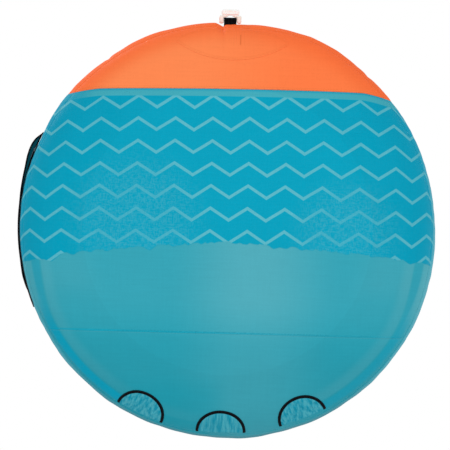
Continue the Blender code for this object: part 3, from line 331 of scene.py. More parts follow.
def cloth_colour(shader, point, x, y, colour, mottle, grain):
    """Uneven dye, faint streaks along the threads and a fine grain over a colour."""
    broad = shader.noise(point, 3.2, 3.0, 0.55) * (2 * mottle) + (1 - mottle)
    fine = shader.noise(point, 210.0, 2.0, 0.6) * (2 * grain) + (1 - grain)
    warp = shader.noise(shader.vector(x * 120.0, y * 7.0, 0.0), 1.0, 2.0)
    weft = shader.noise(shader.vector(x * 7.0, y * 120.0, 0.0), 1.0, 2.0)
    return shader.shade(colour, broad * fine * ((warp + weft * 1.6) * 0.06 + 0.92))


def finish_cloth(shader, point, x, y, colour, mottle, grain, crease=1.0):
    """Colour, uneven sheen and the relief of creased and woven cloth."""
    shader.feed("Base Color", cloth_colour(shader, point, x, y, colour, mottle, grain))
    shader.feed("Roughness", shader.noise(point, 9.0, 3.0) * 0.16 + 0.52)
    creases = shader.bump(shader.noise(point, 7.0, 5.0, 0.62), 0.004, 0.35 * crease)
    threads = shader.bump(weave(x, y, 0.0016), 0.0002, 0.45, creases)
    shader.feed("Normal", threads)


def seam_shift(x, y):
    """Metres behind the nose seam, which sags towards both ends."""
    size = sizes()
    ends = (((abs(x) - size.nose_half_straight).most(0.0)) / size.nose_end_run) ** 1.3
    ends = ends * (x.step(-0.1, 0.1) * 0.35 + 0.65)
    return y - NOSE_LINE_Y - x * (x * size.nose_sag + NOSE_LINE_TILT) - ends * size.nose_droop


def stitches(across, along, pitch=0.006):
    """A run of stitches where across is near zero."""
    on_line = abs(across).step(STITCH_WIDTH, STITCH_WIDTH * 0.4)
    gaps = (along / pitch).cycle().step(0.22, 0.30)
    return on_line * gaps


def radius_of(x, y):
    return (x * x + y * y) ** 0.5


def seam_marks(shader, colour, x, y, thread):
    """Topstitching beside the two cross seams, a painted highlight along the rear seam and painted shade in
    their grooves.
    """
    nose = seam_shift(x, y)
    rear = y - REAR_LINE_Y
    marks = stitches(abs(nose) - 0.009, x).most(stitches(rear - 0.007, x))
    colour = shader.mix(marks * 0.55, colour, thread)
    # Painted highlight: a cyan line along the rear seam, stronger on the left.
    seam_highlight = abs(rear).step(0.0056, 0.0020) * (x.step(0.55, -0.10) * 0.42 + 0.15)
    colour = shader.mix(seam_highlight, colour, (0.0, 0.39, 0.55))
    # Painted shade: the grooves of both seams are darkened.
    groove = abs(nose).step(0.0040, 0.001) * 0.20 + abs(rear - 0.0050).step(0.0024, 0.0006) * 0.12
    return shader.shade(colour, 1 - groove)


def orange_tone(shader, x, y):
    """Orange with painted shade: deeper towards the rim and the right."""
    colour = shader.mix(x.step(-0.20, 0.35) * 0.56, tone("orange"), tone("orange_rim"))
    return shader.mix(radius_of(x, y).step(0.755, 0.860), colour, tone("orange_rim"))


def orange_cloth():
    shader = Shader("orange_cloth", **MATT_CLOTH)
    point, x, y, _ = shader.place()
    colour = seam_marks(shader, orange_tone(shader, x, y), x, y, ORANGE_THREAD)
    finish_cloth(shader, point, x, y, colour, 0.025, 0.03)
    return shader.material


def drawn_out(radius):
    """Distance from the middle along the cloth, which grows faster than the radius on the ring."""
    excess = (radius - 0.65).most(0.0)
    return radius + excess * excess * 0.8


def print_tone(shader, point, x, y, reach):
    """Zigzag rows on a teal ground, which end at a ragged edge above plain cloth."""
    size = sizes()
    radius = radius_of(x, y)
    stretch = reach / radius
    bend = shader.noise(point, 4.0, 2.0) - 0.5
    bent_x = x * stretch + bend * 0.006
    bent_y = y * stretch + bend * 0.008
    saw = abs((bent_x / size.zigzag_period - ZIGZAG_PHASE).cycle() - 0.5) * 2.0
    bent_y = bent_y - x * x * (0.0127 - y * 0.0306) + x * 0.011
    row = (bent_y - saw * size.zigzag_height + ZIGZAG_START + size.zigzag_height) / size.zigzag_pitch
    off_line = abs((row + 0.5).cycle() - 0.5) * size.zigzag_pitch
    half = size.zigzag_period / 2
    stroke = size.zigzag_stroke * math.hypot(size.zigzag_height, half) / half / 2
    behind = seam_shift(x, y)
    line = off_line.step(stroke + 0.0012, stroke - 0.0012) * behind.step(0.024, 0.028)
    muted = spot(x, y, -0.38, -0.03, 0.34).most(spot(x, y, 0.49, 0.0, 0.27))
    sides = abs(x - 0.03).step(0.10, 0.42)
    speckle = shader.noise(point, 130.0, 3.0, 0.7).step(0.28, 0.60) * 0.25 + 0.75
    # Pale flecks along the threads: worn print and painted sheen, the sheen strongest in the two muted spots.
    warp = shader.noise(shader.vector(x * 190.0, y * 50.0, 0.0), 1.0, 3.0, 0.65)
    weft = shader.noise(shader.vector(x * 50.0, y * 160.0, 0.0), 1.0, 3.0, 0.65)
    wear_and_sheen = (warp + weft).step(0.86, 1.20)
    # Painted shade: the ground deepens a little towards the rim.
    ground = shader.mix(radius.step(0.50, 0.85), tone("print_ground"), tone("print_ground_rim"))
    ground = shader.mix(wear_and_sheen * (muted * 0.27 + 0.02), ground, tone("print_line"))
    colour = shader.mix(line * (1.0 - muted * 0.42 - sides * 0.12) * speckle, ground, tone("print_line"))
    strip = behind.step(size.strip_width + 0.001, size.strip_width - 0.002)
    strip = strip * (behind.step(0.007, 0.014) * 0.5 + 0.45) * (x.step(-0.66, -0.55) * 0.8 + 0.2)
    colour = shader.mix(strip, colour, tone("strip"))
    flat = shader.vector(x, 0.0, 0.0)
    scallops = abs(shader.noise(flat, 7.5, 2.0, 0.6) - 0.5) * 0.105
    ragged = scallops + shader.noise(flat, 45.0, 2.0) * 0.008 - 0.0085 + x.step(-0.685, -0.725) * 0.014
    edge = y - x * x * 0.05 - abs(x) * 0.05 + x * 0.010 - RAGGED_EDGE_Y - ragged
    colour = shader.mix(edge.step(-0.0030, 0.0030), colour, plain_tone(shader, x, y, radius))
    return shader.shade(colour, 1 - abs(edge).step(0.0040, 0.0010) * 0.04)


def print_cloth():
    shader = Shader("print_cloth", **MATT_CLOTH)
    point, x, y, z = shader.place()
    radius = radius_of(x, y)
    colour = print_tone(shader, point, x, y, drawn_out(radius))
    colour = painted_disc_light(shader, colour, radius, z)
    colour = seam_marks(shader, colour, x, y, TEAL_THREAD)
    finish_cloth(shader, point, x, y, colour, 0.03, 0.05)
    return shader.material


def spot(x, y, centre_x, centre_y, reach):
    """Share that is 1 in the middle of a soft round spot and 0 outside its reach."""
    return radius_of(x - centre_x, y - centre_y).step(reach, reach * 0.35)


def plain_tone(shader, x, y, radius):
    """Teal of the plain cloth with painted light and shade: deeper at the sides and the rear, with painted
    highlights and a painted shade band where the cloth turns inside a pale edge.
    """
    sides = abs(x - 0.12).step(0.03, 0.37)
    left = x.step(0.3, -0.3)
    outward = radius + y.step(0.42, 0.12) * 0.022
    inside = outward.step(0.808, 0.798) * sides
    # Painted highlights: a pale line along the ring's ridge, a broad pale zone towards the front and a pale
    # rim, all weaker on the left.
    ridge = outward.step(0.745, 0.785) * inside * (0.27 - left * 0.06)
    broad = outward.step(0.54, 0.68) * inside * y.step(0.31, 0.20) * 0.14
    rim = radius.step(0.816, 0.828) * sides * y.step(0.44, 0.28) * (0.55 - left * 0.25)
    # Painted shade: the teal deepens towards the sides and the rear, and the painted highlights lighten it
    # again.
    light = (1 - sides * 0.56) * (1 - y.step(0.27, 0.50) * 0.42) + ridge + broad + rim
    # Painted shadow: a darker patch beside the left vent.
    light = light * (1 - y.step(0.58, 0.70) * x.step(0.03, -0.08) * 0.35)
    colour = shader.mix(1 - light, tone("plain"), tone("plain_deep"))
    # Painted shade: a little darker again towards the rear.
    colour = shader.shade(colour, 1 - y.step(0.33, 0.62) * 0.09)
    # Painted shade: a deep band where the cloth turns away inside the pale edge, strongest on the left and at
    # the rear.
    turn = outward.step(0.804, 0.814) * outward.step(0.846, 0.834) * abs(x).step(0.22, 0.45)
    turn = turn * (y.step(0.30, 0.46) * 0.65 + 0.35) * (left * 0.55 + 0.45)
    return shader.mix(turn, colour, tone("print_ground"))


def painted_disc_light(shader, colour, radius, z):
    """Painted light: the flat inner disc of the underside is a little paler than the ring round it, with a
    faint painted highlight along its edge.
    """
    below = z.step(0.10, 0.05)
    disc = radius.step(0.602, 0.580) * below
    line = abs(radius - 0.592).step(0.006, 0.002) * below
    return shader.shade(colour, disc * 0.032 + line * 0.022 + 0.985)


def plain_cloth():
    shader = Shader("plain_cloth", **MATT_CLOTH)
    point, x, y, z = shader.place()
    radius = radius_of(x, y)
    colour = painted_disc_light(shader, plain_tone(shader, x, y, radius), radius, z)
    colour = seam_marks(shader, colour, x, y, TEAL_THREAD)
    finish_cloth(shader, point, x, y, colour, 0.04, 0.05)
    return shader.material


def side_cloth(name, thread, printed):
    """Heavier cloth of the side wall, stitched beside both edge seams; the print runs on over it, with
    painted light and shade.
    """
    shader = Shader(name, **MATT_CLOTH)
    point, x, y, z = shader.place()
    along = y.math("ARCTAN2", x) * RADIUS
    from_edge = (z - LOWER_SEAM).least(UPPER_SEAM - z)
    # The orange side takes the deeper rim orange: painted shade.
    colour = tone("orange_rim")
    if printed:
        colour = print_tone(shader, point, x, y, from_edge + CLOTH_REACH)
        # Pale side teal along the rear, where the side's own cloth shows, and on the right as painted light,
        # where the wall is lit more.
        plain_side_and_lit = y.step(0.10, 0.40).most(x.step(0.20, 0.70) * y.step(-0.45, -0.10))
        pale = from_edge.step(0.004, 0.030) * plain_side_and_lit
        colour = shader.mix(pale * 0.8, colour, tone("side"))
        # Painted shade: the pale wall darkens below its middle towards the rear.
        below = z.step(MIDDLE + 0.10, MIDDLE - 0.02)
        colour = shader.shade(colour, 1 - pale * below * y.step(0.50, 0.80) * 0.30)
    marks = stitches(from_edge - 0.010, along).most(stitches(from_edge - 0.015, along))
    colour = shader.mix(marks * 0.2, colour, thread)
    # Painted shade in the grooves beside the edge seams.
    colour = shader.shade(colour, 1 - from_edge.step(0.004, 0.0) * 0.05)
    shader.feed("Base Color", cloth_colour(shader, point, x, y, colour, 0.05, 0.05))
    shader.feed("Roughness", shader.noise(point, 9.0, 3.0) * 0.16 + 0.56)
    creases = shader.bump(shader.noise(point, 9.0, 5.0, 0.62), 0.004, 0.4)
    shader.feed("Normal", shader.bump(weave(along, z, 0.0018), 0.0002, 0.5, creases))
    return shader.material


def crumpled_cloth():
    """Thin cloth gathered in a vent, with painted shade in its gathers."""
    shader = Shader("crumpled_cloth", **MATT_CLOTH)
    point, x, y, _ = shader.place()
    across, inward = shader.strip_place()
    folds = shader.noise(shader.vector(across * 75.0, inward * 34.0, 0.0), 1.0, 3.0, 0.6)
    # Painted shade in the gathers: dark where the noise of the folds is low, plain teal where it is high.
    colour = shader.mix(folds.step(0.36, 0.64), (0.004, 0.275, 0.395), (0.070, 0.42, 0.51))
    finish_cloth(shader, point, x, y, colour, 0.03, 0.04, 1.5)
    return shader.material


def webbing(name, rib, stitch_rows=()):
    """Black woven tape with ribs along it and rows of stitching, read from the strip's UV map."""
    shader = Shader(name, **MATT_CLOTH)
    black = tone("black")
    along, across = shader.strip_place()
    point = shader.place()[0]
    twill = ((along + abs((across / 0.006).cycle() - 0.5) * 0.006) * (math.tau / rib)).sine() * 0.5 + 0.5
    marks = None
    for row in stitch_rows:
        run = stitches(across - row, along, 0.005)
        marks = run if marks is None else marks.most(run)
    # Painted sheen on the twill: the raised ribs are lighter.
    colour = shader.mix(twill * 0.35, black, tuple(value * 1.9 + 0.004 for value in black))
    if marks is not None:
        colour = shader.mix(marks * 0.5, colour, tuple(value * 3.0 + 0.02 for value in black))
    lint = shader.noise(point, 160.0, 3.0) * 0.4 + 0.8
    shader.feed("Base Color", shader.shade(colour, lint))
    shader.feed("Roughness", shader.noise(point, 60.0) * 0.15 + 0.66)
    height = twill if marks is None else twill * (1 - marks) - marks * 0.4
    shader.feed("Normal", shader.bump(height, 0.0003, 0.7))
    return shader.material


# Hard finishes

def moulded(name, base, roughness, speck):
    """Moulded plastic or rubber: a faint grain, uneven gloss and handling marks."""
    shader = Shader(name, roughness)
    point = shader.place()[0]
    grain = shader.noise(point, 900.0, 2.0)
    cloudy = shader.noise(point, 35.0, 3.0)
    shader.feed("Base Color", shader.shade(tone(base), cloudy * (2 * speck) + (1 - speck)))
    shader.feed("Roughness", shader.noise(point, 90.0, 4.0) * 0.18 + (roughness - 0.09))
    shader.feed("Normal", shader.bump(grain, 0.00006, 0.5))
    return shader.material


def pale_fitting():
    """Milky tow fitting: cream, with painted peach shade round the rope's arch and scattered smudges."""
    shader = Shader("pale_fitting", 0.34, Subsurface_Weight=0.03, Subsurface_Scale=0.002)
    point, _, y, _ = shader.place()
    cloudy = shader.noise(point, 55.0, 3.0)
    # Painted shade: a peach band round the arch that the rope runs through.
    painted_peach_shade = y.step(TOW_BAR.y - 0.019, TOW_BAR.y - 0.014) * y.step(TOW_BAR.y + 0.016, TOW_BAR.y + 0.008)
    colour = shader.mix(cloudy.step(0.35, 0.75) * 0.20, tone("fitting"), (0.84, 0.79, 0.72))
    colour = shader.mix(painted_peach_shade * 0.40, colour, (0.84, 0.70, 0.56))
    rubbed = shader.noise(point, 140.0, 4.0, 0.7).step(0.58, 0.74)
    shader.feed("Base Color", shader.mix(rubbed * 0.14, colour, (0.60, 0.55, 0.50)))
    shader.feed("Roughness", shader.noise(point, 80.0, 3.0) * 0.2 + 0.26)
    shader.feed("Normal", shader.bump(shader.noise(point, 400.0, 3.0), 0.00012, 0.6))
    return shader.material


def zip_metal():
    shader = Shader("zip_metal", 0.32, Metallic=1.0)
    point, x, y, z = shader.place()
    scratches = shader.noise(shader.vector(x * 40, y * 40, z * 900), 1.0, 4.0, 0.7)
    dull = shader.noise(point, 180.0, 3.0)
    shader.feed("Base Color", shader.shade(
        shader.mix(dull.step(0.4, 0.7) * 0.3, tone("metal"), (0.22, 0.22, 0.22)), scratches * 0.2 + 0.9))
    shader.feed("Roughness", scratches * 0.25 + 0.2)
    shader.feed("Normal", shader.bump(scratches, 0.00003, 0.6))
    return shader.material


def bladder_vinyl():
    shader = Shader("bladder_vinyl", 0.4)
    point = shader.place()[0]
    talc = shader.noise(point, 26.0, 5.0, 0.7)
    shader.feed("Base Color", shader.mix(talc.step(0.45, 0.7) * 0.35, tone("vinyl"), (0.55, 0.57, 0.59)))
    shader.feed("Roughness", talc * 0.2 + 0.3)
    shader.feed("Normal", shader.bump(talc, 0.0008, 0.4))
    return shader.material


def foam_cover():
    """Closed-cell foam skin with fine pits."""
    shader = Shader("guard_foam", 0.75, **MATT_CLOTH)
    point = shader.place()[0]
    pits = shader.noise(point, 700.0, 3.0, 0.6)
    scuffs = shader.noise(point, 42.0, 4.0, 0.65).step(0.5, 0.8)
    foam = tone("foam")
    pale = tuple(value * 1.6 + 0.015 for value in foam)
    # Painted shade in the pits: the colour is darker where their relief is low.
    shader.feed("Base Color", shader.shade(shader.mix(scuffs * 0.4, foam, pale), pits * 0.3 + 0.85))
    shader.feed("Roughness", pits * 0.15 + 0.7)
    shader.feed("Normal", shader.bump(pits, 0.00025, 0.7))
    return shader.material


def grip_cloth():
    """Padded sleeve: knitted cloth over foam, stitched at both ends and along its underside."""
    shader = Shader("grip_cloth", **MATT_CLOTH)
    along, round_it = shader.strip_place()
    point = shader.place()[0]
    knit = (along * (math.tau / 0.0020)).sine() * (round_it * (math.tau / 0.0024)).sine() * 0.5 + 0.5
    ends = stitches(abs(along) - 0.049, round_it, 0.005)
    colour = shader.mix(ends * 0.8, tone("grip"), (0.75, 0.30, 0.12))
    # Painted shade in the knit: darker where its relief is low.
    colour = shader.shade(colour, knit * 0.16 + 0.90)
    soiled = shader.noise(point, 24.0, 4.0, 0.6).step(0.52, 0.78)
    shader.feed("Base Color", shader.mix(soiled * 0.18, colour, (0.24, 0.08, 0.04)))
    shader.feed("Roughness", knit * 0.1 + 0.66)
    shader.feed("Normal", shader.bump(knit - ends, 0.0003, 0.6))
    return shader.material


# Selecting and finishing

def hold(piece):
    """Make a piece the only one that is selected, and the active one."""
    bpy.ops.object.select_all(action="DESELECT")
    piece.select_set(True)
    bpy.context.view_layer.objects.active = piece
    return piece


def new_piece(name, points, faces, uvs=None):
    """A mesh object from points and faces, with a UV map in metres where points have one."""
    mesh = bpy.data.meshes.new(name)
    mesh.from_pydata([tuple(point) for point in points], [], [tuple(face) for face in faces])
    mesh.validate()
    if uvs is not None:
        layer = mesh.uv_layers.new(name="strip")
        for loop in mesh.loops:
            layer.data[loop.index].uv = uvs[loop.vertex_index]
    piece = bpy.data.objects.new(name, mesh)
    bpy.context.scene.collection.objects.link(piece)
    return piece


def apply_modifiers(piece):
    hold(piece)
    for modifier in list(piece.modifiers):
        bpy.ops.object.modifier_apply(modifier=modifier.name)
    return piece


def thicken(piece, thickness, offset=0.0):
    """Give a sheet a thickness, half to each side of it, or all of it inward at an offset of -1."""
    modifier = piece.modifiers.new("thickness", "SOLIDIFY")
    modifier.thickness = thickness
    modifier.offset = offset
    return apply_modifiers(piece)


def dress(piece, material, body, nodes=(), smooth=None):
    """Give a finished piece its material, shading and body, and hide the nodes that it stands for."""
    hold(piece)
    bpy.ops.object.transform_apply(location=True, rotation=True, scale=True)
    if smooth is None:
        bpy.ops.object.shade_smooth()
    else:
        bpy.ops.object.shade_smooth_by_angle(angle=math.radians(smooth))
    piece.data.materials.clear()
    piece.data.materials.append(material)
    bpy.ops.object.select_all(action="DESELECT")
    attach(piece, body)
    if nodes:
        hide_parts(*nodes)
    return piece


def done(*names):
    """Finish an operator, or raise an error where a piece is missing or empty."""
    for name in names:
        piece = bpy.data.objects.get(name)
        if piece is None or (piece.type == "MESH" and not piece.data.polygons):
            raise RuntimeError(f"{name} could not be made")
    return {"FINISHED"}


def declare_cloth(girth=None):
    """Return at once: no flat size of a cloth is worked out or stated, with or without a girth.
    """
    if girth is not None:
        return


def ripple(values, lengths, seed):
    """A smooth uneven wave over an array, between about -1 and 1, from a few wavelengths."""
    random = np.random.default_rng(seed)
    total = np.zeros_like(values)
    for length in lengths:
        total += np.sin(values * (math.tau / length) + random.uniform(0, math.tau))
    return total / math.sqrt(2 * len(lengths))


def swell(x, y, length, seed):
    """A smooth uneven surface over two arrays, between about -1 and 1."""
    waves = 9
    random = np.random.default_rng(seed)
    total = np.zeros_like(x)
    for turn in random.uniform(0, math.pi, waves):
        stretch = random.uniform(0.7, 1.5) * length
        total += np.sin((x * math.cos(turn) + y * math.sin(turn)) * math.tau / stretch
                        + random.uniform(0, math.tau))
    return total / math.sqrt(waves / 2)


def ease(values, low, high):
    """Smooth rise from 0 at low to 1 at high, for arrays."""
    share = np.clip((values - low) / (high - low), 0, 1)
    return share * share * (3 - 2 * share)


def turn_from(angle, start):
    """The turn from one angle to another the short way round, from -pi to pi."""
    return np.angle(np.exp(1j * (angle - start)))


def about_axis(radius, angle, level):
    """Points from radii, angles and heights about the tube's axis."""
    return np.stack([radius * np.cos(angle), radius * np.sin(angle), level], -1)


# The inflated form

SKIN_STEPS = 244
SIDE_STEPS = 900
SIDE_ROWS = 24
UNDERSIDE_SEED = 3
SIDE_SEED = 8
DECK_SEED = 31
# How fast the cloth's fullness grows outward, from this radius to the seam at its edge.
FULLNESS_START = 0.70
# Length of the side wall's curve from seam to seam.
SIDE_GIRTH = 0.1774

# How far the stuffed wall stands out or in, in millimetres, at degrees round the tube from its
# right.
WALL_FULLNESS = ((8, -3), (24, 3), (60, 5), (76, 2), (100, -2), (125, 0), (150, -2), (155, 0),
                 (205, 0), (212, 4), (250, 4), (261, -1), (265.2, -6), (267.2, -21), (267.9, -12),
                 (274, -11), (280, -5), (285, 0), (292, 6), (300, 4), (312, -1), (344, -4))


def form_radius():
    return RADIUS - sizes().side_width


def side_height(radius, sign):
    """Height of the bulging side at a radius, below or above the middle."""
    share = np.clip((radius - form_radius()) / sizes().side_width, 0, 1)
    return MIDDLE + sign * HALF_HEIGHT * np.sqrt(1 - share ** 2)


def underside_height(radius):
    size = sizes()
    floor = CREST_LOW * ease(radius, size.floor_radius - 0.015, size.crest_radius + 0.015)
    return np.where(radius < form_radius(), floor, side_height(radius, -1))


def deck_height(radius):
    size = sizes()
    floor = DECK + (CREST_HIGH - DECK) * ease(radius, size.deck_radius - 0.001, size.crest_radius + 0.015)
    return np.where(radius < form_radius(), floor, side_height(radius, 1))


def arc_table(height):
    """Radii and heights from the middle to the edge seam, with the length along the skin."""
    radius = np.linspace(0, sizes().edge_seam_radius, 4000)
    level = height(radius)
    length = np.concatenate([[0], np.cumsum(np.hypot(np.diff(radius), np.diff(level)))])
    return radius, level, length


def disc_places(steps):
    """A square grid drawn into a disc, as share of the radius, angle and faces."""
    line = np.linspace(-1, 1, steps + 1)
    a, b = np.meshgrid(line, line, indexing="ij")
    wide = np.abs(a) > np.abs(b)
    safe_a = np.where(a == 0, 1, a)
    safe_b = np.where(b == 0, 1, b)
    reach = np.where(wide, a, b)
    turn = np.where(wide, math.pi / 4 * b / safe_a, math.pi / 2 - math.pi / 4 * a / safe_b)
    x, y = reach * np.cos(turn), reach * np.sin(turn)
    index = np.arange((steps + 1) ** 2).reshape(steps + 1, steps + 1)
    faces = np.stack([index[:-1, :-1], index[1:, :-1], index[1:, 1:], index[:-1, 1:]], -1).reshape(-1, 4)
    return np.hypot(x, y).ravel(), np.arctan2(y, x).ravel(), faces


def nose_seam_sag(x):
    """How far the nose seam lies behind its middle at a distance to the side."""
    size = sizes()
    ends = (np.maximum(np.abs(x) - size.nose_half_straight, 0) / size.nose_end_run) ** 1.3
    ends = ends * np.where(np.asarray(x) < 0, 0.65, 1.0)
    return x * (size.nose_sag * x + NOSE_LINE_TILT) + size.nose_droop * ends


def cloth_relief(x, y, to_edge, seed):
    """How far the cloth stands out from the smooth form, in metres."""
    size = sizes()
    along = np.arctan2(y, x) * RADIUS
    held = np.exp(-(to_edge / 0.024) ** 2)
    pucker = ripple(along, (0.031, 0.043, 0.057, 0.083), 9) * 0.0010 - 0.0006
    loose = 0.0010 * swell(x, y, 0.24, seed + 5) + 0.0004 * swell(x, y, 0.07, seed + 6)
    out = held * pucker + (1 - held) * loose
    out -= size.seam_depth * np.exp(-(to_edge / size.seam_width) ** 2)
    for distance, seam_seed in ((y - NOSE_LINE_Y - nose_seam_sag(x), 11), (y - REAR_LINE_Y, 23)):
        out -= size.seam_depth * 0.6 * np.exp(-(distance / size.seam_width) ** 2)
        ruck = ripple(x, (0.024, 0.037, 0.052, 0.090), seam_seed)
        out += 0.0006 * ruck * np.exp(-np.abs(distance) / 0.014)
    return out


def beside_fittings(x, y):
    """Share from 0 to 1 of the deck's relief, which is level under the patches and round the valve."""
    radius = np.hypot(x, y)
    turn = np.abs(np.arctan2(x, -y))
    front = ease(turn, math.radians(76), math.radians(84))
    outside = np.maximum(ease(radius, 0.543, 0.575), front)
    return outside * ease(np.hypot(x - VALVE.x, y - VALVE.y), 0.070, 0.110)


def cloth_points(height, sign, radius, angle, seed, lift=0.0):
    """Points on the cloth of the underside or deck at radii and angles, with its seams and puckers."""
    radii, levels, lengths = arc_table(height)
    length = np.interp(radius, radii, lengths)
    step = 0.001
    run = np.interp(length + step, lengths, radii) - np.interp(length - step, lengths, radii)
    rise = np.interp(length + step, lengths, levels) - np.interp(length - step, lengths, levels)
    size = np.hypot(run, rise)
    normal_r, normal_z = rise / size * -sign, run / size * sign
    x, y = radius * np.cos(angle), radius * np.sin(angle)
    out = cloth_relief(x, y, lengths[-1] - length, seed)
    if sign > 0:
        out = out * beside_fittings(x, y)
    out = out + lift
    moved = radius + normal_r * out + (
        fullness(angle) * ease(radius, FULLNESS_START, sizes().edge_seam_radius))
    level = np.interp(radius, radii, levels) + normal_z * out
    return about_axis(moved, angle, level)


def on_underside(x, y, lift):
    """Points a lift off the underside's cloth."""
    return cloth_points(underside_height, -1, np.hypot(x, y), np.arctan2(y, x), UNDERSIDE_SEED, lift)


def add_skin(name, height, sign, seed):
    """The whole underside or deck as one fine sheet."""
    radii, _, lengths = arc_table(height)
    share, angle, faces = disc_places(SKIN_STEPS)
    radius = np.interp(share * lengths[-1], lengths, radii)
    if sign < 0:
        faces = faces[:, ::-1]
    return new_piece(name, cloth_points(height, sign, radius, angle, seed), faces)


def add_grid(name, points, uvs=None, closed=False):
    """A sheet over rows and columns of points, its columns joined end to end where it is closed."""
    rows, columns = points.shape[:2]
    index = np.arange(rows * columns).reshape(rows, columns)
    after = np.roll(index, -1, axis=1)
    faces = np.stack([index[:-1], after[:-1], after[1:], index[1:]], -1)
    if not closed:
        faces = faces[:, :-1]
    flat_uvs = None if uvs is None else uvs.reshape(-1, 2).tolist()
    return new_piece(name, points.reshape(-1, 3), faces.reshape(-1, 4), flat_uvs)


def metres_over(points):
    """UV places of a grid of points: metres along its rows and across its columns."""
    along = np.linalg.norm(np.diff(points, axis=0), axis=2).mean(axis=1)
    across = np.linalg.norm(np.diff(points, axis=1), axis=2).mean(axis=0)
    along = np.concatenate([[0], np.cumsum(along)])
    across = np.concatenate([[0], np.cumsum(across)])
    along -= along[-1] / 2
    across -= across[-1] / 2
    return np.stack(np.meshgrid(along, across, indexing="ij"), -1)


def add_ribbon(name, line, sideways, width, columns):
    """A tape along a line of points, spread to both sides of it along a direction."""
    shares = np.linspace(-0.5, 0.5, columns + 1) * width
    points = line[:, None, :] + sideways[:, None, :] * shares[None, :, None]
    return add_grid(name, points, metres_over(points))


def fullness(angle):
    """Metres by which the stuffed wall stands out or in at an angle."""
    degrees, millimetres = zip(*WALL_FULLNESS)
    return np.interp(np.degrees(angle) % 360, degrees, millimetres, period=360) / 1000


def add_side(name):
    """The side wall between the two edge seams, drawn in along the zip and beside the nose."""
    low, high = (math.asin((seam - MIDDLE) / HALF_HEIGHT) for seam in (LOWER_SEAM, UPPER_SEAM))
    turns = np.linspace(low, high, SIDE_ROWS + 1)
    angles = np.linspace(0, math.tau, SIDE_STEPS, endpoint=False)
    turn, angle = np.meshgrid(turns, angles, indexing="ij")
    radius = form_radius() + sizes().side_width * np.cos(turn)
    level = MIDDLE + HALF_HEIGHT * np.sin(turn)
    to_edge = np.minimum(level - LOWER_SEAM, UPPER_SEAM - level)
    x, y = radius * np.cos(angle), radius * np.sin(angle)
    out = cloth_relief(x, y, to_edge, SIDE_SEED)
    gap = np.abs(turn_from(angle, math.pi))
    zip_band = np.exp(-((level - ZIP_HEIGHT) / 0.020) ** 2) * ease(-gap * RADIUS, -0.42, -0.34)
    out = out * (1 - zip_band) - 0.0022 * zip_band
    left, right = (np.exp(-(turn_from(angle, place) * RADIUS / width) ** 2)
                   for place, width in ((NOSE - 0.635, 0.012), (NOSE + 0.715, 0.014)))
    out -= (0.0035 * left + 0.0030 * right) * ease(to_edge, 0, 0.04)
    lean_r, lean_z = np.cos(turn) / sizes().side_width, np.sin(turn) / HALF_HEIGHT
    size = np.hypot(lean_r, lean_z)
    radius = radius + out * lean_r / size + fullness(angle)
    level = level + out * lean_z / size
    return add_grid(name, about_axis(radius, angle, level), closed=True)


def bisect(piece, y):
    """Cut edges into a piece where it crosses a plane that stands across the tube."""
    bm = bmesh.new()
    bm.from_mesh(piece.data)
    geometry = bm.verts[:] + bm.edges[:] + bm.faces[:]
    bmesh.ops.bisect_plane(bm, geom=geometry, dist=0.00005, plane_co=(0, y, 0), plane_no=(0, 1, 0))
    bm.to_mesh(piece.data)
    bm.free()


def move_by_sag(piece, sign):
    """Draw a piece out straight along the nose seam, or back into its curve."""
    count = len(piece.data.vertices)
    places = np.empty(count * 3)
    piece.data.vertices.foreach_get("co", places)
    places = places.reshape(count, 3)
    places[:, 1] += sign * nose_seam_sag(places[:, 0])
    piece.data.vertices.foreach_set("co", places.ravel())


def score(piece):
    """Cut edges into a skin along the cross seams, the curved one while it is drawn out straight."""
    move_by_sag(piece, -1)
    bisect(piece, NOSE_LINE_Y)
    move_by_sag(piece, 1)
    bisect(piece, REAR_LINE_Y)
    return piece


def in_nose(x, y):
    return y < NOSE_LINE_Y + nose_seam_sag(x)


def in_rear(x, y):
    return y > REAR_LINE_Y


def in_main(x, y):
    return not in_nose(x, y) and not in_rear(x, y)


def behind_nose(x, y):
    return not in_nose(x, y)


def part_of(skin, name, region):
    """A copy of a scored skin that keeps only the faces in a region."""
    mesh = skin.data.copy()
    mesh.name = name
    bm = bmesh.new()
    bm.from_mesh(mesh)
    outside = []
    for face in bm.faces:
        middle = face.calc_center_median()
        if not region(middle.x, middle.y):
            outside.append(face)
    bmesh.ops.delete(bm, geom=outside, context="FACES")
    bm.to_mesh(mesh)
    bm.free()
    piece = bpy.data.objects.new(name, mesh)
    bpy.context.scene.collection.objects.link(piece)
    return piece


def cut_opening(piece, centre, side, up, radius, sides, depth):
    """Cut a round opening through the sheet within a depth of its centre, on new straight cuts."""
    bm = bmesh.new()
    bm.from_mesh(piece.data)

    def within(reach):
        gaps = ((face, face.calc_center_median() - centre) for face in bm.faces)
        return [face for face, gap in gaps if math.hypot(gap.dot(side), gap.dot(up)) < reach
                and abs(gap.dot(side.cross(up))) < depth]

    for i in range(sides):
        turn = math.tau * (i + 0.5) / sides
        outward = side * math.cos(turn) + up * math.sin(turn)
        geometry = {item for face in within(radius + 0.03) for item in (face, *face.edges, *face.verts)}
        bmesh.ops.bisect_plane(bm, geom=list(geometry), dist=0.00001, plane_co=centre + outward * radius,
                               plane_no=outward)
    bmesh.ops.delete(bm, geom=within(radius), context="FACES")
    bm.to_mesh(piece.data)
    bm.free()
    return piece


def cut_valve_hole(piece, radius, sides):
    """Cut a hole round the valve through the upper side of a piece."""
    return cut_opening(piece, Vector((VALVE.x, VALVE.y, DECK)), Vector((1, 0, 0)), Vector((0, 1, 0)),
                       radius, sides, DECK - MIDDLE)


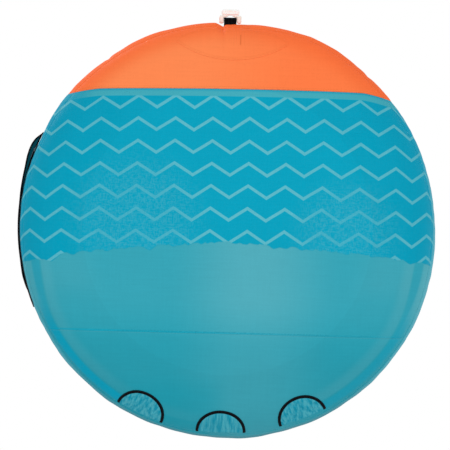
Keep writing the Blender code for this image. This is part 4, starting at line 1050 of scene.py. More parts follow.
class DECKTUBE_OT_underside(bpy.types.Operator):
    """Sew the three panels of the underside"""
    bl_idname = "deck_tube.underside"
    bl_label = "Underside panels"

    def execute(self, context):
        skin = score(add_skin("underside", underside_height, -1, UNDERSIDE_SEED))
        for name, region, material, slot in (
                ("bottom_nose_cloth", in_nose, orange_cloth(), "orange_nylon"),
                ("bottom_print_cloth", in_main, print_cloth(), "printed_nylon"),
                ("bottom_rear_cloth", in_rear, plain_cloth(), "teal_nylon")):
            panel = thicken(part_of(skin, name, region), sizes().cloth_thickness, -1.0)
            dress(panel, material, TUBE, [name.replace("cloth", "panel")])
            declare_cloth()
        bpy.data.objects.remove(skin)
        return done("bottom_nose_cloth", "bottom_print_cloth", "bottom_rear_cloth")


class DECKTUBE_OT_side(bpy.types.Operator):
    """Sew the side wall, orange at the nose and teal elsewhere"""
    bl_idname = "deck_tube.side"
    bl_label = "Side bands"

    def execute(self, context):
        skin = score(add_side("side"))
        for name, region, material, slot in (
                ("side_nose_cloth", in_nose, side_cloth("side_orange", ORANGE_THREAD, False), "orange_nylon"),
                ("side_rear_cloth", behind_nose, side_cloth("side_teal", (0.12, 0.36, 0.42), True),
                 "teal_nylon")):
            band = thicken(part_of(skin, name, region), sizes().cloth_thickness, -1.0)
            dress(band, material, TUBE, [name.replace("cloth", "band")])
            declare_cloth(girth=SIDE_GIRTH)
        bpy.data.objects.remove(skin)
        return done("side_nose_cloth", "side_rear_cloth")


class DECKTUBE_OT_deck(bpy.types.Operator):
    """Sew the three panels of the deck and cut the valve's port"""
    bl_idname = "deck_tube.deck"
    bl_label = "Deck panels"

    def execute(self, context):
        skin = score(add_skin("deck", deck_height, 1, DECK_SEED))
        for name, region, material, slot in (
                ("deck_nose_cloth", in_nose, bpy.data.materials["orange_cloth"], "orange_nylon"),
                ("deck_main_cloth", in_main, bpy.data.materials["print_cloth"], "printed_nylon"),
                ("deck_rear_cloth", in_rear, bpy.data.materials["plain_cloth"], "teal_nylon")):
            panel = part_of(skin, name, region)
            if region is in_main:
                cut_valve_hole(panel, 0.052, 48)
            thicken(panel, sizes().cloth_thickness, -1.0)
            dress(panel, material, TUBE, [name.replace("cloth", "panel")])
            declare_cloth()
        bpy.data.objects.remove(skin)
        return done("deck_nose_cloth", "deck_main_cloth", "deck_rear_cloth")


# Soft parts inside

BLADDER_INSET = 0.0065
WEB_INSET = 0.0056
WEB_THICKNESS = 0.0009
PASSAGE_RADIUS = 0.035


def add_bladder():
    """The smooth air chamber a little inside the cover, closer to it round the valve."""
    angles = np.linspace(0, math.tau, 180, endpoint=False)
    share = np.linspace(0.001, 1, 60)
    lower = share * form_radius()
    upper = form_radius() * share[::-1]
    turn = np.linspace(-math.pi / 2, math.pi / 2, 40)[1:-1]
    radius = np.concatenate([lower, form_radius() + sizes().side_width * np.cos(turn), upper])
    level = np.concatenate([underside_height(lower), MIDDLE + HALF_HEIGHT * np.sin(turn), deck_height(upper)])
    run, rise = np.gradient(radius), np.gradient(level)
    length = np.hypot(run, rise)
    radius = radius - rise / length * BLADDER_INSET
    level = level + run / length * BLADDER_INSET
    grid_r, grid_a = np.meshgrid(radius, angles, indexing="ij")
    grid_z = np.repeat(level[:, None], len(angles), axis=1)
    drawn_in = np.minimum(fullness(grid_a), 0) - 0.011 * np.exp(-(turn_from(grid_a, NOSE) / 0.16) ** 2)
    grid_r = grid_r + drawn_in * ease(grid_r, FULLNESS_START, sizes().edge_seam_radius)
    x, y = grid_r * np.cos(grid_a), grid_r * np.sin(grid_a)
    near = (1 - ease(np.hypot(x - VALVE.x, y - VALVE.y), 0.060, 0.100)) * (grid_z > MIDDLE)
    grid_z = grid_z + near * (BLADDER_INSET - 0.0014)
    bladder = add_grid("air_bladder", np.stack([x, y, grid_z], -1), closed=True)
    close_ends(bladder)
    return cut_valve_hole(bladder, 0.0192, 32)


def close_ends(piece):
    """Fill the open rings of a piece, with its faces outward."""
    bm = bmesh.new()
    bm.from_mesh(piece.data)
    bmesh.ops.holes_fill(bm, edges=bm.edges[:], sides=0)
    bmesh.ops.recalc_face_normals(bm, faces=bm.faces[:])
    bm.to_mesh(piece.data)
    bm.free()
    return piece


def cut_passage(web, place, aim):
    """Cut an opening for the air through an upright web, seen along an aim."""
    up = Vector((0, 0, 1))
    return cut_opening(web, place, aim.cross(up), up, PASSAGE_RADIUS, 24, PASSAGE_RADIUS)


class DECKTUBE_OT_bladder(bpy.types.Operator):
    """Make the air bladder and the webs inside it"""
    bl_idname = "deck_tube.bladder"
    bl_label = "Air bladder and webs"

    def execute(self, context):
        vinyl = bladder_vinyl()
        bladder = dress(add_bladder(), vinyl, TUBE, ["inner_bladder"])
        low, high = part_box("ring_baffle")
        radius = high.x - 0.0008
        levels = np.linspace(low.z + WEB_INSET, high.z - WEB_INSET, 13)
        angles = np.linspace(0, math.tau, 240, endpoint=False)
        level, angle = np.meshgrid(levels, angles, indexing="ij")
        sag = 0.004 * np.sin((level - low.z) / (high.z - low.z) * math.pi) + 0.001 * np.sin(angle * 30)
        ring = radius - 0.012 - sag
        wall = add_grid("ring_web", about_axis(ring, angle, level), closed=True)
        for i in range(4):
            turn = math.pi / 4 + math.pi / 2 * i
            aim = Vector((math.cos(turn), math.sin(turn), 0))
            cut_passage(wall, aim * (radius - 0.014) + Vector((0, 0, MIDDLE)), aim)
        dress(thicken(wall, WEB_THICKNESS), vinyl, TUBE, ["ring_baffle"])
        declare_cloth(girth=round(high.z - low.z, 3))
        for i in range(1, 5):
            low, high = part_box(f"floor_baffle_{i}")
            middle = (low.x + high.x) / 2
            half = high.y - 0.024
            along, level = np.meshgrid(np.linspace(-half, half, 90), levels, indexing="ij")
            belly = 0.003 * np.sin((level - low.z) / (high.z - low.z) * math.pi)
            ruck = 0.0012 * np.sin(along * 34 + i)
            web = add_grid(f"floor_web_{i}", np.stack([middle + belly + ruck, along, level], -1))
            for side in (-1, 1):
                cut_passage(web, Vector((middle + 0.002, side * high.y * 0.4, MIDDLE)), Vector((1, 0, 0)))
            dress(thicken(web, WEB_THICKNESS), vinyl, TUBE, [f"floor_baffle_{i}"])
            declare_cloth(girth=round(high.z - low.z, 3))
        return done("air_bladder", "ring_web", *(f"floor_web_{i}" for i in range(1, 5)))


# Drain vents

def vent_plan(index, across, inward):
    """Places in plan for metres across a vent and metres in from its rim."""
    angle = VENT_TURN * (1 - index)
    out = np.sqrt(sizes().vent_rim_radius ** 2 - across ** 2) - inward
    x = -out * math.sin(angle) - across * math.cos(angle) + VENT_SHIFT
    y = out * math.cos(angle) - across * math.sin(angle)
    return x, y


def add_vent_liner(name, index):
    """Gathered cloth with a flat hem along the rim."""
    size = sizes()
    half, depth = size.vent_width / 2, size.vent_depth
    turns = np.linspace(-math.pi / 2, math.pi / 2, 121) * 0.985
    turn, share = np.meshgrid(turns, np.linspace(0, 1, 49), indexing="ij")
    across = half * np.sin(turn)
    inward = depth * np.cos(turn) * share
    x, y = vent_plan(index, across, inward)
    gathered = ease(inward, 0.012, 0.026) * ease(depth * np.cos(turn) - inward, -0.001, 0.010)
    if index == 1:
        folds = np.cos(across * (math.tau / 0.0128) + 0.8 * np.sin(inward * 70)) * 0.0017
    else:
        wandering = across + 0.004 * np.sin(inward * 90 + index)
        folds = (ripple(wandering, (0.013, 0.019, 0.027), 40 + index) * 0.0018
                 + swell(across, inward, 0.022, 60 + index) * 0.0009)
    lift = 0.0016 + gathered * (0.0020 + folds)
    lift -= 0.0007 * np.exp(-((inward - 0.013) / 0.0012) ** 2)
    drawn = inward * (0.35 if index == 1 else 0.9)
    return add_grid(name, on_underside(x, y, np.maximum(lift, 0.0007)), np.stack([across, drawn], -1))


def add_vent_binding(name, index):
    """Folded tape round the arch of a vent, its ends at the rim."""
    size = sizes()
    turns = np.linspace(-math.pi / 2, math.pi / 2, 97)
    turn, share = np.meshgrid(turns, np.linspace(0, 1, 11), indexing="ij")
    offset = (share - 0.08) * size.vent_binding
    across = (size.vent_width / 2 + offset) * np.sin(turn)
    inward = (size.vent_depth + offset) * np.cos(turn) - 0.002
    dome = np.sqrt(np.clip(1 - (2 * share - 1) ** 4, 0, 1))
    ruck = ripple(turn * 0.14, (0.011, 0.017), 70 + index) * 0.0002
    x, y = vent_plan(index, across, inward)
    points = on_underside(x, y, 0.0006 + (0.0024 + ruck) * dome)
    return add_grid(name, points, metres_over(points))


class DECKTUBE_OT_vents(bpy.types.Operator):
    """Sew the three drain vents, each with gathered cloth and a taped arch"""
    bl_idname = "deck_tube.vents"
    bl_label = "Drain vents"

    def execute(self, context):
        cloth = crumpled_cloth()
        tape = webbing("vent_tape", 0.0016, (-0.0040, 0.0040))
        for index, side in enumerate(ACROSS):
            liner = thicken(add_vent_liner(f"vent_gathers_{side}", index), 0.0006)
            dress(liner, cloth, TUBE, [f"vent_liner_{side}"])
            declare_cloth()
            binding = thicken(add_vent_binding(f"vent_tape_{side}", index), 0.0005)
            dress(binding, tape, TUBE, [f"vent_binding_{side}"])
            declare_cloth(girth=0.012)
        return done(*(f"vent_{part}_{side}" for part in ("gathers", "tape") for side in ACROSS))


# Tow point

def add_tow_patch():
    """Lens-shaped patch over the end of the tow webbing, with turned-in edges."""
    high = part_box("tow_reinforcement_patch")[1]
    half = high.x
    outer = EDGE_SEAM_RADIUS - 0.010
    corner_y = -0.765
    inner_y = high.y + 0.007
    sagitta = inner_y - corner_y
    inner = (half ** 2 + sagitta ** 2) / (2 * sagitta)
    share, row = np.meshgrid(np.linspace(-1, 1, 141), np.linspace(0, 1, 57), indexing="ij")
    x = half * np.sin(share * math.pi / 2 * 0.995)
    far = corner_y - (outer + corner_y) * np.sqrt(1 - (x / half) ** 2)
    near = inner_y - inner + np.sqrt(inner ** 2 - x ** 2)
    y = far + (near - far) * row
    edge = np.minimum((near - y) * 0.92, (y - far) * 0.96)
    hem = 0.0003 * np.exp(-((edge - 0.003) / 0.002) ** 2)
    stitch = -0.0003 * np.exp(-((edge - 0.006) / 0.0012) ** 2)
    strap = 0.0005 * ease(-np.abs(x), -0.029, -0.024)
    points = on_underside(x, y, 0.0005 + hem + stitch + strap)
    return add_grid("tow_patch", points, np.stack([x, edge], -1))


def patch_cloth(name, thread, at_nose):
    """Doubled cloth with two rows of stitching inside its edge, read from its UV map."""
    shader = Shader(name, **MATT_CLOTH)
    along, edge = shader.strip_place()
    point, x, y, _ = shader.place()
    marks = stitches(edge - 0.0058, along, 0.005).most(stitches(edge - 0.0105, along, 0.005))
    if at_nose:
        colour = orange_tone(shader, x, y)
        lines = abs((x / 0.0105).cycle() - 0.5).step(0.12, 0.04) * abs(x - 0.025).step(0.032, 0.028) * 0.22
        lines = lines.most(abs(x - 0.0325).step(0.0024, 0.0012) * y.step(-0.808, -0.803) * 0.7)
        colour = shader.mix(lines * y.step(-0.822, -0.814) * y.step(-0.757, -0.767), colour, thread)
    else:
        colour = shader.mix(edge.step(0.0, 0.050) * 0.30, tone("side"), tone("print_ground_rim"))
    colour = shader.mix(marks * 0.35, colour, thread)
    # Painted shade along the patch's edge.
    colour = shader.shade(colour, 1 - edge.step(0.0020, 0.0) * 0.06)
    finish_cloth(shader, point, x, y, colour, 0.025, 0.03)
    return shader.material


def add_tow_strap():
    """Webbing that comes out of the nose, round the connector's bar and back."""
    bar = TOW_BAR
    ply, loop = 0.0014, 0.0066
    wall = -RADIUS + 0.0015
    start = wall + 0.030
    lead = np.linspace(0, 1, 26)
    lead_y = start + (bar.y - start) * lead
    lead_z = ply + (loop - ply) * ease(lead_y * -1, -wall, -bar.y + 0.001)
    turn = np.linspace(0, math.pi, 24)[1:-1]
    arc_y = bar.y - loop * np.sin(turn)
    arc_z = loop * np.cos(turn)
    path_y = np.concatenate([lead_y, arc_y, lead_y[::-1]])
    path_z = np.concatenate([lead_z, arc_z, -lead_z[::-1]]) + bar.z
    line = np.stack([np.full_like(path_y, TOW_SHIFT), path_y, path_z], -1)
    sideways = np.tile([1.0, 0.0, 0.0], (len(line), 1))
    return add_ribbon("tow_strap", line, sideways, sizes().strap_width, 10)


def bevel(piece, width, segments, angle=None):
    """Round a piece's edges: all, or those where it turns by more than an angle in degrees."""
    modifier = piece.modifiers.new("round", "BEVEL")
    modifier.width = width
    modifier.segments = segments
    modifier.limit_method = "NONE" if angle is None else "ANGLE"
    if angle is not None:
        modifier.angle_limit = math.radians(angle)
    return apply_modifiers(piece)


def add_block(name, size, place, rounding, segments=4):
    """A box with rounded edges."""
    bpy.ops.object.select_all(action="DESELECT")
    bpy.ops.mesh.primitive_cube_add(size=1, location=place)
    piece = bpy.context.object
    piece.name = name
    piece.scale = size
    bpy.ops.object.transform_apply(location=True, rotation=True, scale=True)
    if rounding:
        bevel(piece, rounding, segments)
    return piece


def add_rod(name, radius, length, place, turn=(0, 0, 0), sides=48, rounding=0.0):
    """A rod along its own Z, its rims rounded where that is asked for."""
    bpy.ops.object.select_all(action="DESELECT")
    bpy.ops.mesh.primitive_cylinder_add(vertices=sides, radius=radius, depth=length, location=place,
                                        rotation=turn)
    piece = bpy.context.object
    piece.name = name
    bpy.ops.object.transform_apply(location=True, rotation=True, scale=True)
    if rounding:
        bevel(piece, rounding, 3, 50)
    return piece


def combine(piece, other, operation):
    """Join or cut one closed piece with another, which is used up."""
    modifier = piece.modifiers.new("combine", "BOOLEAN")
    modifier.operation = operation
    modifier.solver = "EXACT"
    modifier.object = other
    apply_modifiers(piece)
    bpy.data.objects.remove(other)
    return piece


def join(piece, other):
    return combine(piece, other, "UNION")


def cut(piece, other):
    return combine(piece, other, "DIFFERENCE")


def add_connector():
    """Moulded fitting: head bar, lobes that hold the strap's bar, and an arch for the rope."""
    low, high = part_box("tow_connector")
    bar = TOW_BAR
    head = add_block("tow_fitting", (0.074, 0.0250, 0.0255), (0, bar.y - 0.0292, bar.z), 0.0080)
    for side in (-1, 1):
        lobe = (side * 0.0365, bar.y + 0.0003, bar.z)
        join(head, add_block("lobe", (0.0195, 0.0345, 0.0215), lobe, 0.0078))
        neck = (side * 0.0235, bar.y - 0.0165, bar.z)
        join(head, add_block("neck", (0.017, 0.016, 0.0185), neck, 0.0040))
    join(head, add_block("crown", (0.044, 0.0100, 0.0180), (0, bar.y - 0.0165, bar.z), 0.0040))
    arch = add_rod("arch", 0.0130, 0.06, (0, bar.y - 0.0070, bar.z), sides=64)
    arch.data.transform(Matrix.Translation((0, bar.y - 0.0070, 0)) @ Matrix.Diagonal((1, 0.78, 1, 1))
                        @ Matrix.Translation((0, -bar.y + 0.0070, 0)))
    cut(head, arch)
    cut(head, add_block("trough", (0.048, 0.012, 0.06), (0, bar.y - 0.0028, bar.z), 0))
    join(head, add_rod("bar", 0.0048, 0.070, (0, bar.y, bar.z), (0, math.pi / 2, 0)))
    modifier = head.modifiers.new("skin", "REMESH")
    modifier.mode = "VOXEL"
    modifier.voxel_size = 0.0009
    modifier = head.modifiers.new("smooth", "CORRECTIVE_SMOOTH")
    modifier.smooth_type = "LENGTH_WEIGHTED"
    modifier.iterations = 6
    apply_modifiers(head)
    for level in (high.z + 0.0008, low.z - 0.0008):
        cut(head, add_block("recess", (0.046, 0.0115, 0.004), (0, bar.y - 0.0295, level), 0.0012, 2))
    head.data.transform(Matrix.Translation((TOW_SHIFT, 0, 0)))
    return head


class DECKTUBE_OT_tow_point(bpy.types.Operator):
    """Make the tow patch, the webbing and the moulded connector"""
    bl_idname = "deck_tube.tow_point"
    bl_label = "Tow point"

    def execute(self, context):
        patch = thicken(add_tow_patch(), 0.0007)
        dress(patch, patch_cloth("tow_patch_cloth", (0.66, 0.13, 0.03), True),
              TUBE, ["tow_reinforcement_patch"])
        declare_cloth()
        strap = thicken(add_tow_strap(), 0.0024)
        dress(strap, webbing("tow_webbing", 0.0024, (-0.021, -0.007, 0.007, 0.021)), TUBE,
              ["tow_webbing_loop"], smooth=60)
        declare_cloth(girth=sizes().strap_width)
        dress(add_connector(), pale_fitting(), "tow_connector", ["tow_connector"])
        return done("tow_patch", "tow_strap", "tow_fitting")


# Zip and flap in the left side wall

COIL_PITCH = 0.0022
COIL_RADIUS = 0.86305
STOP_RADIUS = 0.8636
FLAP_LEVEL = MIDDLE + 0.0030


def wall_at(height):
    """Radius of the smooth side wall at a height."""
    return form_radius() + sizes().side_width * np.sqrt(1 - ((height - MIDDLE) / HALF_HEIGHT) ** 2)


def add_zip_tape(name, side):
    """Woven tape beside the coil, a little above the recessed wall."""
    turns = np.linspace(-ZIP_TURN, ZIP_TURN, 301) + math.pi
    levels = np.linspace(ZIP_HEIGHT + side * 0.0018, ZIP_HEIGHT + side * 0.0122, 9)
    turn, level = np.meshgrid(turns, levels, indexing="ij")
    ruck = ripple(turn * RADIUS, (0.012, 0.019, 0.031), 90 + side)
    ruck = ruck * 0.00012 * np.abs(level - ZIP_HEIGHT) / 0.0122
    points = about_axis(wall_at(level) - 0.0012 + ruck, turn, level)
    return add_grid(f"zip_tape_{name}", points, metres_over(points))


def bend_round(piece, length, radius, height):
    """Bend a piece that lies along X into an arc about the tube's axis, on its left side."""
    modifier = piece.modifiers.new("bend", "SIMPLE_DEFORM")
    modifier.deform_method = "BEND"
    modifier.deform_axis = "Z"
    modifier.angle = length / radius
    apply_modifiers(piece)
    piece.data.transform(Matrix.Translation((-radius, 0, height)) @ Matrix.Rotation(-math.pi / 2, 4, "Z"))
    return piece


def add_zip_coil():
    """Rows of coil turns, each a flattened loop across the zip."""
    bpy.ops.object.select_all(action="DESELECT")
    bpy.ops.mesh.primitive_torus_add(major_segments=12, minor_segments=6, major_radius=0.0021,
                                     minor_radius=0.00052, rotation=(0, math.pi / 2, 0))
    coil = bpy.context.object
    coil.name = "zip_coil"
    coil.scale = (1, 0.42, 1.15)
    bpy.ops.object.transform_apply(location=True, rotation=True, scale=True)
    hold(coil)
    bpy.ops.object.mode_set(mode="EDIT")
    bpy.ops.mesh.select_all(action="SELECT")
    bpy.ops.transform.rotate(value=math.radians(16), orient_axis="Y", center_override=(0, 0, 0))
    bpy.ops.object.mode_set(mode="OBJECT")
    count = int((2 * ZIP_TURN * RADIUS - 0.0185) / COIL_PITCH)
    span = (count - 1) * COIL_PITCH
    row = coil.modifiers.new("row", "ARRAY")
    row.use_relative_offset = False
    row.use_constant_offset = True
    row.constant_offset_displace = (COIL_PITCH, 0, 0)
    row.count = count
    apply_modifiers(coil)
    coil.data.transform(Matrix.Translation((-span / 2, 0, 0)))
    return bend_round(coil, span + 0.0011, COIL_RADIUS, ZIP_HEIGHT)


def slider_frame():
    """The slider's turn round the tube's axis and its pin's distance from it.

    Its X axis points out of the wall, its Y axis towards the nose.
    """
    turn = math.atan2(ZIP_PULL.y, ZIP_PULL.x)
    return Matrix.Rotation(turn, 4, "Z"), math.hypot(ZIP_PULL.x, ZIP_PULL.y)


def add_zip_slider():
    """Channel over the coil with a waisted top plate, two lugs and a pin."""
    frame_turn, pin = slider_frame()
    plate = pin - 0.0042
    top = add_block("zip_slider", (0.0015, 0.0215, 0.0094), (plate + 0.00085, 0, ZIP_HEIGHT), 0.0006, 3)
    for side in (-1, 1):
        wing = (plate + 0.00085, side * 0.0012, ZIP_HEIGHT + side * 0.0036)
        join(top, add_block("wing", (0.0030, 0.0170, 0.0040), wing, 0.0006, 3))
        rail = (plate - 0.0004, 0, ZIP_HEIGHT + side * 0.0041)
        join(top, add_block("rail", (0.0022, 0.0205, 0.00125), rail, 0.0003, 2))
        lug = (pin - 0.0009, 0, ZIP_HEIGHT + side * 0.0054)
        join(top, add_block("lug", (0.0042, 0.0050, 0.0011), lug, 0.0004, 3))
    cut(top, add_block("channel", (0.0040, 0.03, 0.0067), (plate - 0.0020, 0, ZIP_HEIGHT), 0))
    join(top, add_rod("axle", 0.00095, 0.0112, (pin, 0, ZIP_HEIGHT), sides=24))
    top.data.transform(frame_turn)
    return top


def add_zip_pull():
    """Tab with a hooked eye, a rounded end and a punched slot."""
    frame_turn, pin = slider_frame()
    tab = add_block("zip_pull_tab", (0.0015, 0.0300, 0.0084), (pin, -0.0235, ZIP_HEIGHT), 0.0006, 3)
    join(tab, add_block("neck", (0.0015, 0.0110, 0.0060), (pin, -0.0060, ZIP_HEIGHT), 0.0005, 3))
    join(tab, add_rod("eye", 0.0024, 0.0084, (pin, 0, ZIP_HEIGHT), sides=32, rounding=0.0004))
    cut(tab, add_rod("hole", 0.00125, 0.02, (pin, 0, ZIP_HEIGHT), sides=24))
    cut(tab, add_block("slot", (0.01, 0.0130, 0.0034), (pin, -0.0290, ZIP_HEIGHT), 0.0014, 4))
    for i in range(4):
        ridge = (pin + 0.0007, -0.0125 - i * 0.0018, ZIP_HEIGHT)
        join(tab, add_rod("ridge", 0.0005, 0.0064, ridge, sides=12))
    tab.data.transform(frame_turn)
    return tab


def add_zip_stop(name, side):
    """Crimped metal stop over the end of the coil."""
    stop = add_block(name, (0.0038, 0.0076, 0.0060), (0, 0, 0), 0.0012, 3)
    cut(stop, add_rod("groove", 0.0007, 0.02, (0.0021, 0, 0), sides=16))
    turn = math.pi + side * (ZIP_TURN - 0.0040 / RADIUS)
    stop.data.transform(Matrix.Rotation(turn, 4, "Z") @ Matrix.Translation((STOP_RADIUS, 0, ZIP_HEIGHT)))
    return stop


# Metres from the flap's nose end, and how far its edge stands out from the rim there.
FLAP_EDGE = ((0.0, 0.0), (0.020, 0.012), (0.042, 0.022), (0.075, 0.026), (0.113, 0.024), (0.162, 0.0175),
             (0.245, 0.0125), (0.310, 0.0085), (0.450, 0.0075), (0.540, 0.0065), (0.610, 0.0095),
             (0.655, 0.0070), (0.692, 0.0010))
FLAP_NOSE_TURN = 0.460


def flap_turns():
    """Angles along the flap, from its rear end to its nose end."""
    return np.linspace(math.pi - FLAP_TURN, math.pi + FLAP_NOSE_TURN, 441)


def flap_stand(turn):
    """How far the flap's edge stands out from the rim, most of all just behind its nose end."""
    along = (math.pi + FLAP_NOSE_TURN - turn) * RADIUS
    places, stands = zip(*FLAP_EDGE)
    reaches = [np.interp(along + shift, places, stands) for shift in (-0.012, -0.006, 0.0, 0.006, 0.012)]
    return sum(reaches) / 5


def flap_height(turns, share):
    """Height of the flap along it at a share of its width, wavier towards its edge."""
    wave = ripple(turns * RADIUS, (0.060, 0.085, 0.130), 101)
    small = ripple(turns * RADIUS, (0.014, 0.021, 0.030), 102)
    ends = ease(np.minimum(turns - turns[0], turns[-1] - turns), 0, 0.05)
    waves = (0.0007 * wave + 0.0005 * small) * share * ends
    return FLAP_LEVEL + waves + 0.0006 * math.sin(share * math.pi)


def add_flap():
    """Flap of cover cloth, sewn to the wall above the zip and standing out over it."""
    turns = flap_turns()
    small = ripple(turns * RADIUS, (0.014, 0.021, 0.030), 102)
    rows = []
    for share in np.linspace(0, 1, 7):
        level = FLAP_LEVEL + 0.0140 - 0.0125 * share + small * 0.0002
        rows.append((wall_at(level) + 0.0012 + small * 0.0002, level))
    start = wall_at(FLAP_LEVEL) - RADIUS + 0.0016
    for share in np.linspace(0.08, 1, 15):
        out = start + (np.maximum(flap_stand(turns) - 0.0022, start) - start) * share
        rows.append((RADIUS + out, flap_height(turns, share)))
    points = np.stack([about_axis(radius, turns, level) for radius, level in rows], 1)
    return add_grid("zip_flap", points, metres_over(points))


def add_flap_binding():
    """Black tape folded over the flap's edge."""
    turns = flap_turns()
    centre = flap_height(turns, 1.0)
    outside = RADIUS + np.maximum(flap_stand(turns), 0.0036)
    section = [(-0.0064, 0.0014), (-0.0044, 0.0017), (-0.0026, 0.0017), (-0.0010, 0.0013),
               (-0.0002, 0.0006), (0, 0)]
    section = [(out, -up) for out, up in section] + section[-2::-1]
    points = np.stack([about_axis(outside + out, turns, centre + up) for out, up in section], 1)
    return add_grid("zip_flap_tape", points, metres_over(points))


def flap_cloth():
    """Teal above; below, painted shade: dark teal that blackens towards the rear, with a painted black shadow
    along its root.
    """
    shader = Shader("flap_cloth", **MATT_CLOTH)
    point, x, y, _ = shader.place()
    radius = radius_of(x, y)
    facing = Wire(shader, shader.node("ShaderNodeNewGeometry").outputs["Normal"])
    up = Wire(shader, shader.node("ShaderNodeSeparateXYZ", None, {0: facing}).outputs[2])
    # Painted shadow: a black band along the flap's root, on its underside.
    root = radius.step(RADIUS + 0.0062, RADIUS + 0.0050)
    behind = y.step(-0.25, -0.10) * 0.6
    # Painted shade: the underside is dark teal, blackening towards the rear.
    dark = shader.mix(root.most(behind), (0.000, 0.065, 0.092), tone("black"))
    # Only the downward-facing side takes the painted shade; the upper side is teal.
    colour = shader.mix(up.step(-0.35, 0.0), dark, tone("side"))
    finish_cloth(shader, point, x, y, colour, 0.06, 0.05)
    return shader.material


class DECKTUBE_OT_zip(bpy.types.Operator):
    """Make the zip for the bladder and the flap over it"""
    bl_idname = "deck_tube.zip"
    bl_label = "Zip and flap"

    def execute(self, context):
        tape = webbing("zip_tape", 0.0012, (0.0028,))
        for name, side in (("lower", -1), ("upper", 1)):
            strip = thicken(add_zip_tape(name, side), 0.0007)
            dress(strip, tape, TUBE, [f"zipper_tape_{name}"])
            declare_cloth(girth=0.0104)
        dress(add_zip_coil(), moulded("coil_plastic", "plastic", 0.38, 0.08), TUBE,
              ["zipper_coil"])
        metal = zip_metal()
        for end, side in (("rear", -1), ("nose", 1)):
            stop = add_zip_stop(f"zip_stop_{end}", side)
            dress(stop, metal, TUBE, [f"zipper_stop_{end}"], smooth=40)
        dress(add_zip_slider(), metal, "zipper_slider", ["zipper_slider"], smooth=40)
        dress(add_zip_pull(), metal, "zipper_pull", ["zipper_pull"], smooth=40)
        flap = thicken(add_flap(), 0.0016)
        dress(flap, flap_cloth(), TUBE, ["zipper_flap"])
        declare_cloth(girth=0.032)
        binding = thicken(add_flap_binding(), 0.0006)
        dress(binding, webbing("flap_tape", 0.0014, (-0.0030, 0.0030)), TUBE,
              ["zipper_flap_binding"])
        declare_cloth(girth=0.0176)
        return done("zip_tape_lower", "zip_tape_upper", "zip_coil", "zip_stop_rear", "zip_stop_nose",
                    "zip_slider", "zip_pull_tab", "zip_flap", "zip_flap_tape")


# Filling valve in the deck

def add_turning(name, profile, sides=64):
    """A piece turned about Z from (radius, height) points, made as a line and spun round."""
    bpy.ops.object.select_all(action="DESELECT")
    bpy.ops.mesh.primitive_plane_add(size=1)
    piece = bpy.context.object
    piece.name = name
    bm = bmesh.new()
    points = [bm.verts.new((radius, 0, level)) for radius, level in profile]
    closed = profile[0][0] > 0
    for a, b in zip(points, points[1:] + (points[:1] if closed else [])):
        bm.edges.new((a, b))
    bm.to_mesh(piece.data)
    bm.free()
    hold(piece)
    bpy.ops.object.mode_set(mode="EDIT")
    bpy.ops.mesh.select_all(action="SELECT")
    bpy.ops.mesh.spin(steps=sides, angle=math.tau, center=(0, 0, 0), axis=(0, 0, 1))
    bpy.ops.mesh.select_all(action="SELECT")
    bpy.ops.mesh.remove_doubles(threshold=0.000001)
    bpy.ops.mesh.normals_make_consistent(inside=False)
    bpy.ops.object.mode_set(mode="OBJECT")
    piece.data.transform(Matrix.Translation((VALVE.x, VALVE.y, 0)))
    return piece


def rounded(points, radius, steps=3):
    """A closed run of (radius, height) points with its corners cut by arcs of straight pieces."""
    result = []
    count = len(points)
    for i, (x, y) in enumerate(points):
        before, after = Vector(points[i - 1]), Vector(points[(i + 1) % count])
        here = Vector((x, y))
        reach = min(radius, (before - here).length * 0.45, (after - here).length * 0.45)
        if x <= 0 or reach <= 0:
            result.append((x, y))
            continue
        start = here + (before - here).normalized() * reach
        end = here + (after - here).normalized() * reach
        for step in range(steps + 1):
            share = step / steps
            point = start.lerp(here, share).lerp(here.lerp(end, share), share)
            result.append((point.x, point.y))
    return result


def add_port_tape():
    """Tape folded over the edge of the cover's port."""
    width = 0.0116
    angles = np.linspace(0, math.tau, 144, endpoint=False)
    across, angle = np.meshgrid(np.linspace(0, 1, 11), angles, indexing="ij")
    radius = 0.0522 + width * across
    dome = np.sqrt(np.clip(1 - (2 * across - 1) ** 4, 0, 1))
    ruck = np.sin(angle * 29) * 0.00012 + np.sin(angle * 43 + 1) * 0.0001
    level = DECK + 0.0004 + (0.0015 + ruck) * dome
    uvs = np.stack([angle * 0.058, (across - 0.5) * width], -1)
    return add_grid("port_tape", np.array(VALVE) + about_axis(radius, angle, level), uvs, closed=True)


def add_valve_cap():
    """Screw cap: plug, neck, knob with finger grips and a raised bar across its top."""
    low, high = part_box("valve_cap")
    top = high.z
    knob_low = top - 0.011
    cap = add_turning("valve_cap_knob", rounded([
        (0, low.z), (0.0120, low.z), (0.0120, knob_low - 0.0030), (0.0145, knob_low - 0.0030),
        (0.0145, knob_low), (0.0226, knob_low), (0.0226, top - 0.0026), (0.0205, top - 0.0014),
        (0.0185, top - 0.0014), (0.0175, top - 0.0030), (0, top - 0.0030)], 0.0008), 96)
    for i in range(12):
        turn = math.tau * (i + 0.5) / 12
        place = (VALVE.x + 0.0251 * math.cos(turn), VALVE.y + 0.0251 * math.sin(turn), top - 0.0055)
        cut(cap, add_rod("grip", 0.0040, 0.03, place, sides=24))
    join(cap, add_block("bar", (0.0330, 0.0050, 0.0045), (VALVE.x, VALVE.y, top - 0.0025), 0.0011, 3))
    return bevel(cap, 0.00035, 2, 40)


